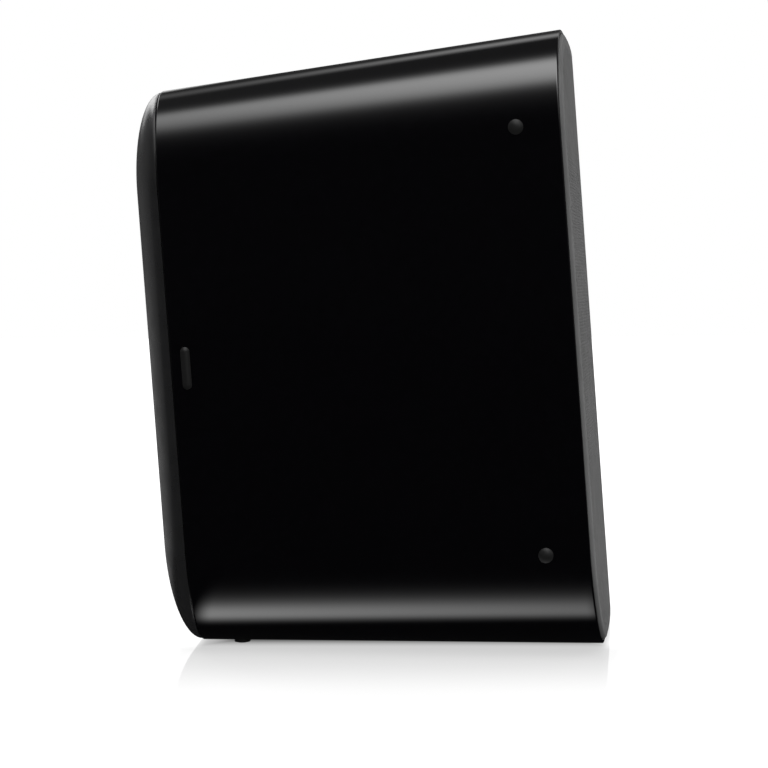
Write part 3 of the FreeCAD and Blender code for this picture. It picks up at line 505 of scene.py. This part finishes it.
# Pads

def pad(name, spot, outward, long_way, length, width, dome):
    """A rubber pad whose top is a shallow dome, dome high."""
    across = outward.cross(long_way)
    half_l, half_w = max(length, width) / 2, width / 2
    straight = PAD_PROUD - dome
    path = [(-PAD_SINK, 0), (straight, 0)]
    for step in range(1, PAD_STEPS):
        share = DOME_SHARE * step / PAD_STEPS
        path.append((straight + dome * (1 - (1 - share) ** 2), half_w * share))
    path.append((PAD_PROUD, half_w * DOME_SHARE))
    share_x, _, out_x, out_z, _, _ = OUTLINE
    rings = []
    for height, inset in path:
        radius = half_w - inset
        along = share_x * (half_l - half_w) + out_x * radius
        aside = out_z * radius
        rings.append(np.array([spot + outward * height + long_way * a + across * b
                               for a, b in zip(along, aside)]))
    return stacked(name, rings, closed=False)


def end_pads(side, label):
    """Two round pads near the front of an end and a long one near its rear."""
    outward = Vector((side * math.cos(END_TAPER), math.sin(END_TAPER), 0))
    upright = Vector((0, 0, 1))
    front_x = side * half_width(PAD_FRONT_DEPTH)
    rear = Vector((side * half_width(PAD_REAR_DEPTH), PAD_REAR_DEPTH, 0))
    heights = (("low", PAD_END_RISE - PAD_END_SPACING), ("high", PAD_END_RISE + PAD_END_SPACING))
    pads = [pad("%s_pad_%s" % (label, where), Vector((front_x, PAD_FRONT_DEPTH, z)), outward, upright,
                0, 2 * PAD_RADIUS, END_PAD_DOME) for where, z in heights]
    pads.append(pad("%s_pad_rear" % label, rear, outward, upright, END_PAD_LENGTH, END_PAD_WIDTH,
                    END_PAD_DOME))
    return pads


def feet():
    """Four feet under the lower side: round ones in front, long ones behind."""
    outward = Vector((0, math.sin(SIDE_TAPER), -math.cos(SIDE_TAPER)))
    across = Vector((1, 0, 0))
    pieces = []
    for side, label in ((-1, "left"), (1, "right")):
        front = Vector((side * FOOT_SPACING, PAD_FRONT_DEPTH, -half_height(PAD_FRONT_DEPTH)))
        rear = Vector((side * FOOT_SPACING, FOOT_REAR_DEPTH, -half_height(FOOT_REAR_DEPTH)))
        pieces.append(pad("foot_front_%s" % label, front, outward, across, 0, 2 * PAD_RADIUS, FOOT_DOME))
        pieces.append(pad("foot_rear_%s" % label, rear, outward, across, FOOT_LENGTH, FOOT_WIDTH, FOOT_DOME))
    return pieces


# Materials

# Noise stays mostly between these two values, so patterns run their whole range there
NOISE_LOW = 0.3
NOISE_HIGH = 0.7
LEAST_ROUGHNESS = 0.02
CLOUD_SIZE = 14 * MM
CLOUD_SHADES = (0.9, 1.1)
SHEEN_SIZE = 5 * MM
SHEEN_SPREAD = 0.06


class Finish:
    """A node-built material: colour, roughness and bump vary with noise in the object's own frame."""

    def __init__(self, name, colour, roughness, metallic=0.0):
        self.slot = name
        self.material = bpy.data.materials.new(name + "_finish")
        self.material.use_nodes = True
        self.tree = self.material.node_tree
        self.shader = self.tree.nodes["Principled BSDF"]
        self.shader.inputs["Roughness"].default_value = roughness
        self.shader.inputs["Metallic"].default_value = metallic
        self.shader.inputs["Base Color"].default_value = (*colour, 1)
        self.colour, self.roughness = colour, roughness
        self.place = self.tree.nodes.new("ShaderNodeTexCoord").outputs["Object"]

    def link(self, output, target):
        self.tree.links.new(output, target)

    def noise(self, size, detail=3):
        """Noise whose features are about size metres across."""
        noise = self.tree.nodes.new("ShaderNodeTexNoise")
        noise.inputs["Scale"].default_value = 1 / size
        noise.inputs["Detail"].default_value = detail
        self.link(self.place, noise.inputs["Vector"])
        return noise.outputs["Fac"]

    def vary_colour(self, pattern, darker, lighter):
        """The colour runs from darker to lighter times itself over the pattern."""
        ramp = self.tree.nodes.new("ShaderNodeValToRGB")
        for element, factor, position in zip(ramp.color_ramp.elements, (darker, lighter),
                                             (NOISE_LOW, NOISE_HIGH)):
            element.color = (*(min(1, factor * value) for value in self.colour), 1)
            element.position = position
        self.link(pattern, ramp.inputs["Fac"])
        self.link(ramp.outputs["Color"], self.shader.inputs["Base Color"])

    def vary_roughness(self, pattern, spread):
        """The roughness runs from spread below to spread above its own value over the pattern."""
        span = self.tree.nodes.new("ShaderNodeMapRange")
        span.inputs["From Min"].default_value = NOISE_LOW
        span.inputs["From Max"].default_value = NOISE_HIGH
        span.inputs["To Min"].default_value = max(LEAST_ROUGHNESS, self.roughness - spread)
        span.inputs["To Max"].default_value = min(1.0, self.roughness + spread)
        self.link(pattern, span.inputs["Value"])
        self.link(span.outputs["Result"], self.shader.inputs["Roughness"])

    def bump(self, pattern, depth, strength=1.0):
        bump = self.tree.nodes.new("ShaderNodeBump")
        bump.inputs["Distance"].default_value = depth
        bump.inputs["Strength"].default_value = strength
        self.link(pattern, bump.inputs["Height"])
        self.link(bump.outputs["Normal"], self.shader.inputs["Normal"])

    def set(self, **values):
        """Sets numbers on the shader's own sockets."""
        for key, value in values.items():
            self.shader.inputs[key.replace("_", " ")].default_value = value
        return self


def moulded(name, colour, roughness, grain=0.35 * MM, depth=0.01 * MM, metallic=0.0):
    """Plain moulded, painted or plated finish with a fine grain and slight clouding."""
    finish = Finish(name, colour, roughness, metallic)
    finish.vary_colour(finish.noise(CLOUD_SIZE), *CLOUD_SHADES)
    finish.vary_roughness(finish.noise(SHEEN_SIZE), SHEEN_SPREAD)
    finish.bump(finish.noise(grain, detail=2), depth)
    return finish


def gloss_finish():
    """The shell's black gloss, with the faint waviness of moulded plastic."""
    finish = Finish("shell_gloss", (0.0011, 0.001, 0.0014), roughness=0.085)
    finish.vary_roughness(finish.noise(30 * MM), spread=0.012)
    finish.vary_colour(finish.noise(3 * MM), darker=0.85, lighter=1.15)
    finish.bump(finish.noise(6 * MM, detail=1), depth=0.002 * MM, strength=0.5)
    return finish.set(IOR=1.5)


MATERIALS = {finish.slot: finish.material for finish in (
    gloss_finish(),
    moulded("grille_metal", (0.124, 0.124, 0.124), 0.55).set(Specular_IOR_Level=0.25),
    moulded("cover_satin", (0.0095, 0.0095, 0.01), 0.3),
    moulded("panel_black", (0.012, 0.012, 0.012), 0.45),
    moulded("socket_black", (0.01, 0.01, 0.01), 0.5),
    moulded("plated_brass", (0.75, 0.6, 0.34), 0.25, metallic=1.0),
    moulded("button_grey", (0.12, 0.12, 0.125), 0.45),
    moulded("plunger_white", (0.7, 0.69, 0.66), 0.4),
    moulded("baffle_black", (0.012, 0.012, 0.012), 0.6),
    moulded("foam_seal", (0.03, 0.03, 0.03), 0.95, grain=0.8 * MM, depth=0.2 * MM),
    moulded("board_green", (0.01, 0.075, 0.035), 0.35, grain=1.5 * MM, depth=0.03 * MM),
    moulded("bare_aluminium", (0.75, 0.75, 0.76), 0.35, metallic=1.0),
    moulded("antenna_copper", (0.8, 0.42, 0.25), 0.35, metallic=1.0),
    moulded("tin_shield", (0.7, 0.7, 0.68), 0.4, metallic=1.0),
    moulded("transformer_tape", (0.62, 0.5, 0.1), 0.4),
    moulded("capacitor_sleeve", (0.02, 0.02, 0.05), 0.35),
    moulded("basket_steel", (0.02, 0.02, 0.021), 0.45),
    moulded("surround_rubber", (0.016, 0.016, 0.016), 0.65),
    moulded("cone_paper", (0.028, 0.027, 0.026), 0.8, grain=0.5 * MM, depth=0.05 * MM),
    moulded("coil_copper", (0.8, 0.4, 0.2), 0.35, metallic=1.0),
    moulded("spider_cloth", (0.5, 0.36, 0.12), 0.85, grain=0.5 * MM, depth=0.08 * MM),
    moulded("ferrite", (0.03, 0.03, 0.032), 0.7, grain=0.6 * MM, depth=0.04 * MM),
    moulded("plated_steel", (0.62, 0.61, 0.58), 0.3, metallic=1.0),
    moulded("tweeter_plastic", (0.014, 0.014, 0.014), 0.5),
    moulded("dome_silk", (0.03, 0.03, 0.03), 0.7, grain=0.3 * MM, depth=0.03 * MM),
    moulded("black_screw", (0.03, 0.03, 0.032), 0.35, metallic=1.0),
    moulded("pad_rubber", (0.006, 0.006, 0.006), 0.5, grain=0.5 * MM,
            depth=0.02 * MM).set(Specular_IOR_Level=0.36),
)}


def dress(piece, slot, body="cabinet"):
    piece.data.materials.clear()
    piece.data.materials.append(MATERIALS[slot])
    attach(piece, body)


# The pieces that stand for CAD nodes

shell = shell_piece()
dress(shell, "shell_gloss")
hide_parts("shell")

grille_parts = [grille_rim()] + grille_skins()
for part in grille_parts:
    dress(part, "grille_metal")
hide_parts("grille")

cover = rear_cover_piece()
dress(cover, "cover_satin")
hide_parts("rear_cover")

for label, pads in (("left_end_pads", end_pads(-1, "left")), ("right_end_pads", end_pads(1, "right")),
                    ("bottom_pads", feet())):
    for piece in pads:
        dress(piece, "pad_rubber")
    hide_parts(label)

for node in frame["nodes"].values():
    for holder in node.material_slots:
        if holder.material and holder.material.name.split(".")[0] in MATERIALS:
            holder.material = MATERIALS[holder.material.name.split(".")[0]]


# Studio

# Lights in the world are painted by the direction they are seen in. A pair of numbers is a soft
# edge: where it starts and where it ends.

# The strip above: its light, and for each edge its skew, its place and its softness
STRIP_LIGHT = 6.9
STRIP_RIGHT = (0.7, -0.12, 0.05)
STRIP_LEFT = (1.5, -0.815, 0.1)
STRIP_HALF_LENGTH = 0.38
STRIP_FOOT = (0.1, 0.3)
STRIP_LEAST_HEIGHT = 0.05
SPILL_LIGHT = 0.11
SPILL_FALL = 2.5

# The backdrop beyond the right end
BACKDROP_LIGHT = 0.92
BACKDROP_SIDE = (0.1, 0.5)
BACKDROP_FOOT = (0.5, 0.8)
BACKDROP_TOP = (0.8, 0.64)
BACKDROP_FRONT = (0.23, 0.0)
BACKDROP_REAR_SHARE = 0.5
BACKDROP_FRONT_MORE = 1.4

# The panel beyond the right end and behind
PANEL_LIGHT = 6.6
PANEL_LEAN = 0.4
PANEL_FRONT = (0.0, 0.1)
PANEL_REAR = (0.6, 0.5)
PANEL_FOOT = (0.15, 0.25)
PANEL_TOP = (0.84, 0.75)
PANEL_SIDE = (0.3, 0.42)

# Round lights: the way towards each, its width and its light
FRONT_LOBE = ((1, -0.9, 0.1), 0.16, 3.0)
PAD_LOBE = ((-0.65, -0.5, 0.5), 0.05, 1.3)
REAR_LOBE = ((0.2, 1, 0.5), 0.2, 0.22)
HORIZON_LOBE = ((0.85, 0.6, 0.1), 0.05, 0.05)

# The front light counts in full for matt surfaces, and by this share for gloss
FRONT_GLOSS_SHARE = 0.1
FILL_LIGHT = 0.2
ROOM_LIGHT = 0.008

# The floor: its white to the camera, with a painted contact shadow under the object and painted light to its
# sides, and how grey and bright it is to the object
FLOOR_HALF = 6.0
FLOOR_WHITE = 0.8
# Painted light: the white added along the object's sides and further off, which covers the object's shadow
# there
PAINTED_LIGHT_BESIDE = 0.3
FLOOR_SHADED = 0.22
FLOOR_GREY = 0.2
FLOOR_BOUNCE = 0.42
FLOOR_DARK = 0.004
END_ROUND = 30 * MM
# The painted contact shadow: how far in from the ends and from the lower side it starts, and its soft edge
PAINTED_SHADOW_END = 39.5 * MM
PAINTED_SHADOW_SIDE = 7 * MM
PAINTED_SHADOW_EDGE = (-10 * MM, 11 * MM)
# Where the painted light goes: along the lower side away from the ends, and clear of the side
BESIDE_SIDE = (-1 * MM, 3 * MM)
BESIDE_END = (-22 * MM, -38 * MM)
CLEAR_OF_SIDE = (5 * MM, 12 * MM)
MIRROR_SHARE = 0.24
MIRROR_SIDE = 12 * MM
MIRROR_EDGE = (90 * MM, 12 * MM)

# The line of light along each end, and the pale floor further off, as gloss shows them
GLOW_LIGHT = 2.9
GLOW_RISE = 9.0
GLOW_PLACE = 174.1 * MM
GLOW_SKEW = 0.09
GLOW_INNER = 5.1 * MM
GLOW_INNER_POWER = 2.8
GLOW_OUTER = 10.6 * MM
GLOW_NARROWING = 0.024
GLOW_SIDE = (4 * MM, -3 * MM)
FAR_FLOOR = 0.22
FAR_REACH = 2.5
FAR_SIDE = (0.0, 15 * MM)
FAR_END = (-120 * MM, -20 * MM)

LARGEST_EXPONENT = 20.0
WHITE = (1, 1, 1, 1)


class Nodes:
    """Makes the nodes of one emptied tree. A value is a number or another node's output."""

    def __init__(self, tree):
        self.tree = tree
        tree.nodes.clear()

    def make(self, kind):
        return self.tree.nodes.new(kind)

    def link(self, output, target):
        self.tree.links.new(output, target)

    def maths(self, operation, *values, clamp=False):
        node = self.make("ShaderNodeMath")
        node.operation = operation
        node.use_clamp = clamp
        for socket, value in zip(node.inputs, values):
            if isinstance(value, (int, float)):
                socket.default_value = value
            else:
                self.link(value, socket)
        return node.outputs[0]

    def add(self, a, b):
        return self.maths("ADD", a, b)

    def less(self, a, b, clamp=False):
        return self.maths("SUBTRACT", a, b, clamp=clamp)

    def over(self, a, b):
        return self.maths("DIVIDE", a, b)

    def largest(self, a, b):
        return self.maths("MAXIMUM", a, b)

    def size(self, a):
        return self.maths("ABSOLUTE", a)

    def exponent(self, a):
        return self.maths("EXPONENT", a)

    def scaled(self, a, factor, offset):
        """a times factor plus offset."""
        return self.maths("MULTIPLY_ADD", a, factor, offset)

    def product(self, *values):
        total = values[0]
        for value in values[1:]:
            total = self.maths("MULTIPLY", total, value)
        return total

    def soft_step(self, value, start, end):
        """Rises smoothly from 0 at start to 1 at end, or falls where start is the larger."""
        span = self.make("ShaderNodeMapRange")
        span.interpolation_type = "SMOOTHSTEP"
        for name, number in (("From Min", min(start, end)), ("From Max", max(start, end)),
                             ("To Min", float(start > end)), ("To Max", float(start < end))):
            span.inputs[name].default_value = number
        self.link(value, span.inputs["Value"])
        return span.outputs["Result"]

    def soft_edge(self, value, edge, width):
        """1 well below edge and 0 well above it, with a soft change about width wide."""
        beyond = self.over(self.less(value, edge), width)
        grown = self.exponent(self.maths("MINIMUM", beyond, LARGEST_EXPONENT))
        return self.over(1.0, self.add(grown, 1.0))

    def bell(self, value, width):
        """1 at 0, falling off on both sides as a bell curve."""
        apart = self.over(value, width)
        return self.exponent(self.product(apart, apart, -1.0))

    def emission(self, strength):
        """A white shader that shines with strength."""
        shader = self.make("ShaderNodeEmission")
        if isinstance(strength, float):
            shader.inputs["Strength"].default_value = strength
        else:
            self.link(strength, shader.inputs["Strength"])
        return shader.outputs[0]

    def both(self, a, b):
        """Two shaders added up."""
        sum_of = self.make("ShaderNodeAddShader")
        self.link(a, sum_of.inputs[0])
        self.link(b, sum_of.inputs[1])
        return sum_of.outputs[0]

    def mixed(self, share, a, b):
        """Shader a, with a share of b in its place."""
        mix = self.make("ShaderNodeMixShader")
        self.link(share, mix.inputs[0])
        self.link(a, mix.inputs[1])
        self.link(b, mix.inputs[2])
        return mix.outputs[0]


def lobe(nodes, way, towards, width, light):
    """A round soft light in the direction towards."""
    x, y, z = Vector(towards).normalized()
    facing = nodes.product(way["X"], x)
    facing = nodes.add(facing, nodes.product(way["Y"], y))
    facing = nodes.add(facing, nodes.product(way["Z"], z))
    return nodes.product(nodes.exponent(nodes.over(nodes.less(facing, 1.0), width)), light)


def overhead_strip(nodes, way):
    """A long strip light above, a little skew, with a crisp right edge and a soft left one."""
    height = nodes.largest(way["Z"], STRIP_LEAST_HEIGHT)
    across = nodes.over(way["X"], height)
    along = nodes.over(way["Y"], height)
    skew, place, softness = STRIP_RIGHT
    before_right = nodes.soft_edge(across, nodes.scaled(along, skew, place), softness)
    skew, place, softness = STRIP_LEFT
    left_edge = nodes.scaled(along, skew, place)
    inside = nodes.product(before_right, nodes.less(1.0, nodes.soft_edge(across, left_edge, softness)))
    off = nodes.size(nodes.less(across, left_edge))
    spill = nodes.product(nodes.exponent(nodes.product(off, -SPILL_FALL)), SPILL_LIGHT)
    reach = nodes.product(nodes.bell(along, STRIP_HALF_LENGTH), STRIP_LIGHT)
    return nodes.product(nodes.add(inside, spill), reach, nodes.soft_step(way["Z"], *STRIP_FOOT))


def backdrop(nodes, way):
    """A pale backdrop beyond the right end, dark at the foot, lighter towards the front."""
    tilt = nodes.scaled(nodes.soft_step(way["Y"], *BACKDROP_FRONT), BACKDROP_FRONT_MORE, BACKDROP_REAR_SHARE)
    return nodes.product(nodes.soft_step(way["X"], *BACKDROP_SIDE), nodes.soft_step(way["Z"], *BACKDROP_FOOT),
                         nodes.soft_step(way["Z"], *BACKDROP_TOP), tilt, BACKDROP_LIGHT)


def rear_panel(nodes, way):
    """An upright panel light beyond the right end and behind, brighter towards its top."""
    leant = nodes.scaled(way["Z"], -PANEL_LEAN, way["Y"])
    return nodes.product(nodes.soft_step(leant, *PANEL_FRONT), nodes.soft_step(way["Y"], *PANEL_REAR),
                         nodes.soft_step(way["Z"], *PANEL_FOOT), nodes.soft_step(way["Z"], *PANEL_TOP),
                         nodes.soft_step(way["X"], *PANEL_SIDE), way["Z"], PANEL_LIGHT)


def world():
    """White to the camera and in the floor's mirror; to all else a dark studio with a strip light above,
    a pale backdrop and soft fills."""
    made = bpy.data.worlds.new("studio")
    bpy.context.scene.world = made
    made.use_nodes = True
    nodes = Nodes(made.node_tree)
    path = nodes.make("ShaderNodeLightPath").outputs
    split = nodes.make("ShaderNodeSeparateXYZ")
    nodes.link(nodes.make("ShaderNodeTexCoord").outputs["Generated"], split.inputs[0])
    way = split.outputs
    front_share = nodes.scaled(path["Is Diffuse Ray"], 1 - FRONT_GLOSS_SHARE, FRONT_GLOSS_SHARE)
    total = ROOM_LIGHT
    for light in (overhead_strip(nodes, way), backdrop(nodes, way), rear_panel(nodes, way),
                  nodes.product(lobe(nodes, way, *FRONT_LOBE), front_share),
                  lobe(nodes, way, *PAD_LOBE), lobe(nodes, way, *REAR_LOBE), lobe(nodes, way, *HORIZON_LOBE),
                  nodes.product(path["Is Diffuse Ray"], FILL_LIGHT)):
        total = nodes.add(total, light)
    seen = nodes.largest(path["Is Camera Ray"], path["Is Singular Ray"])
    background = nodes.make("ShaderNodeBackground")
    background.inputs["Color"].default_value = WHITE
    nodes.link(nodes.add(nodes.product(total, nodes.less(1.0, seen)), seen), background.inputs["Strength"])
    nodes.link(background.outputs[0], nodes.make("ShaderNodeOutputWorld").inputs["Surface"])


def camera_floor(nodes, from_end, from_side):
    """The floor as the camera sees it: white, with a painted contact shadow under the object, painted light
    to its sides, and the object's mirror image.
    """
    # Painted contact shadow: the floor's white and its colour fade to nothing under the object
    end_gap = nodes.add(from_end, PAINTED_SHADOW_END)
    side_gap = nodes.add(from_side, PAINTED_SHADOW_SIDE)
    outside_painted_shadow = nodes.soft_step(nodes.largest(end_gap, side_gap), *PAINTED_SHADOW_EDGE)

    # Painted light: the white is stronger along the object's sides and further off, so that the object's
    # shadow doesn't show there
    beside = nodes.product(nodes.soft_step(from_side, *BESIDE_SIDE), nodes.soft_step(from_end, *BESIDE_END))
    beside = nodes.largest(beside, nodes.soft_step(from_side, *CLEAR_OF_SIDE))
    white = nodes.product(outside_painted_shadow, nodes.scaled(beside, PAINTED_LIGHT_BESIDE, FLOOR_WHITE))
    shaded = nodes.make("ShaderNodeBsdfDiffuse")
    nodes.link(nodes.product(outside_painted_shadow, FLOOR_SHADED), shaded.inputs["Color"])

    # The mirror image starts where the ends' lower edges round up, and fades with the distance
    out_x = nodes.largest(nodes.add(from_end, END_ROUND), 0.0)
    out_y = nodes.largest(nodes.less(from_side, MIRROR_SIDE), 0.0)
    distance = nodes.maths("SQRT", nodes.add(nodes.product(out_x, out_x), nodes.product(out_y, out_y)))
    mirror = nodes.make("ShaderNodeBsdfGlossy")
    mirror.inputs["Color"].default_value = WHITE
    mirror.inputs["Roughness"].default_value = 0.0
    return nodes.mixed(nodes.product(nodes.soft_step(distance, *MIRROR_EDGE), MIRROR_SHARE),
                       nodes.both(nodes.emission(white), shaded.outputs[0]), mirror.outputs[0])


def gloss_floor(nodes, place, from_side):
    """The floor as gloss shows it: a line of light along each end, and paler further off."""
    line = nodes.scaled(place["Y"], -GLOW_SKEW, GLOW_PLACE)
    aside = nodes.less(nodes.size(place["X"]), line)
    inside = nodes.over(nodes.largest(nodes.product(aside, -1.0), 0.0), GLOW_INNER)
    inner = nodes.exponent(nodes.product(nodes.maths("POWER", inside, GLOW_INNER_POWER), -1.0))
    width = nodes.scaled(place["Y"], -GLOW_NARROWING, GLOW_OUTER)
    spread = nodes.over(nodes.largest(aside, 0.0), width)
    spread = nodes.add(nodes.product(spread, spread), 1.0)
    outer = nodes.over(1.0, nodes.product(spread, spread))
    bright = nodes.scaled(place["Y"], GLOW_RISE, GLOW_LIGHT)
    glow = nodes.product(inner, outer, bright, nodes.soft_step(from_side, *GLOW_SIDE))
    half_x = cad_box[1].x
    outside = nodes.product(nodes.soft_step(from_side, *FAR_SIDE), nodes.soft_step(place["X"], *FAR_END))
    far = nodes.largest(nodes.soft_step(place["X"], half_x, FAR_REACH * half_x), outside)
    return nodes.emission(nodes.add(glow, nodes.scaled(far, FAR_FLOOR, FLOOR_DARK)))


def floor():
    """A pale floor, with a look of its own for the camera, for gloss and for the light it throws back."""
    mesh = bpy.data.meshes.new("floor")
    mesh.from_pydata([(-FLOOR_HALF, -FLOOR_HALF, 0), (FLOOR_HALF, -FLOOR_HALF, 0),
                      (FLOOR_HALF, FLOOR_HALF, 0), (-FLOOR_HALF, FLOOR_HALF, 0)], [], [(0, 1, 2, 3)])
    plane = bpy.data.objects.new("floor", mesh)
    bpy.context.scene.collection.objects.link(plane)
    material = bpy.data.materials.new("floor_white")
    material.use_nodes = True
    mesh.materials.append(material)
    nodes = Nodes(material.node_tree)
    split = nodes.make("ShaderNodeSeparateXYZ")
    nodes.link(nodes.make("ShaderNodeNewGeometry").outputs["Position"], split.inputs[0])
    place = split.outputs

    # How far a point lies outside the ends and outside the lower side, whose front edge is bowed
    front_edge = LEAN @ Vector((0, GRILLE_LIP, -half_height(GRILLE_LIP)))
    rear_edge = LEAN @ Vector((0, SHELL_DEPTH, -half_height(SHELL_DEPTH)))
    from_end = nodes.less(nodes.size(place["X"]), cad_box[1].x)
    along = nodes.over(place["X"], FRONT_WIDTH / 2)
    bow = nodes.less(1.0, nodes.product(along, along), clamp=True)
    front = nodes.scaled(bow, -GRILLE_BULGE, front_edge.y)
    from_side = nodes.largest(nodes.less(front, place["Y"]), nodes.less(place["Y"], rear_edge.y))

    matt = nodes.make("ShaderNodeBsdfDiffuse")
    matt.inputs["Color"].default_value = (FLOOR_GREY, FLOOR_GREY, FLOOR_GREY, 1)
    bounce = nodes.both(matt.outputs[0], nodes.emission(FLOOR_BOUNCE))
    path = nodes.make("ShaderNodeLightPath").outputs
    look = nodes.mixed(path["Is Glossy Ray"], camera_floor(nodes, from_end, from_side),
                       gloss_floor(nodes, place, from_side))
    look = nodes.mixed(path["Is Diffuse Ray"], look, bounce)
    nodes.link(look, nodes.make("ShaderNodeOutputMaterial").inputs["Surface"])


def turned(a, b, angle):
    """Two directions turned in their own plane, a away from b."""
    return math.cos(angle) * a - math.sin(angle) * b, math.sin(angle) * a + math.cos(angle) * b


def camera():
    """The photograph's camera: it looks along X at the left end, with yaw, pitch and roll."""
    forward, right, up = Vector((1, 0, 0)), Vector((0, -1, 0)), Vector((0, 0, 1))
    right, forward = turned(right, forward, CAMERA_YAW)
    up, forward = turned(up, forward, CAMERA_PITCH)
    right, up = turned(right, up, CAMERA_ROLL)
    data = bpy.data.cameras.new("camera")
    data.lens = CAMERA_LENS
    data.sensor_width = CAMERA_SENSOR
    data.clip_start = CAMERA_NEAR
    made = bpy.data.objects.new("camera", data)
    bpy.context.scene.collection.objects.link(made)
    facing = Matrix((right, up, -forward)).transposed().to_4x4()
    made.matrix_world = Matrix.Translation(CAMERA_PLACE) @ facing
    bpy.context.scene.camera = made


world()
floor()
camera()
scene = bpy.context.scene
scene.view_settings.view_transform = "Standard"
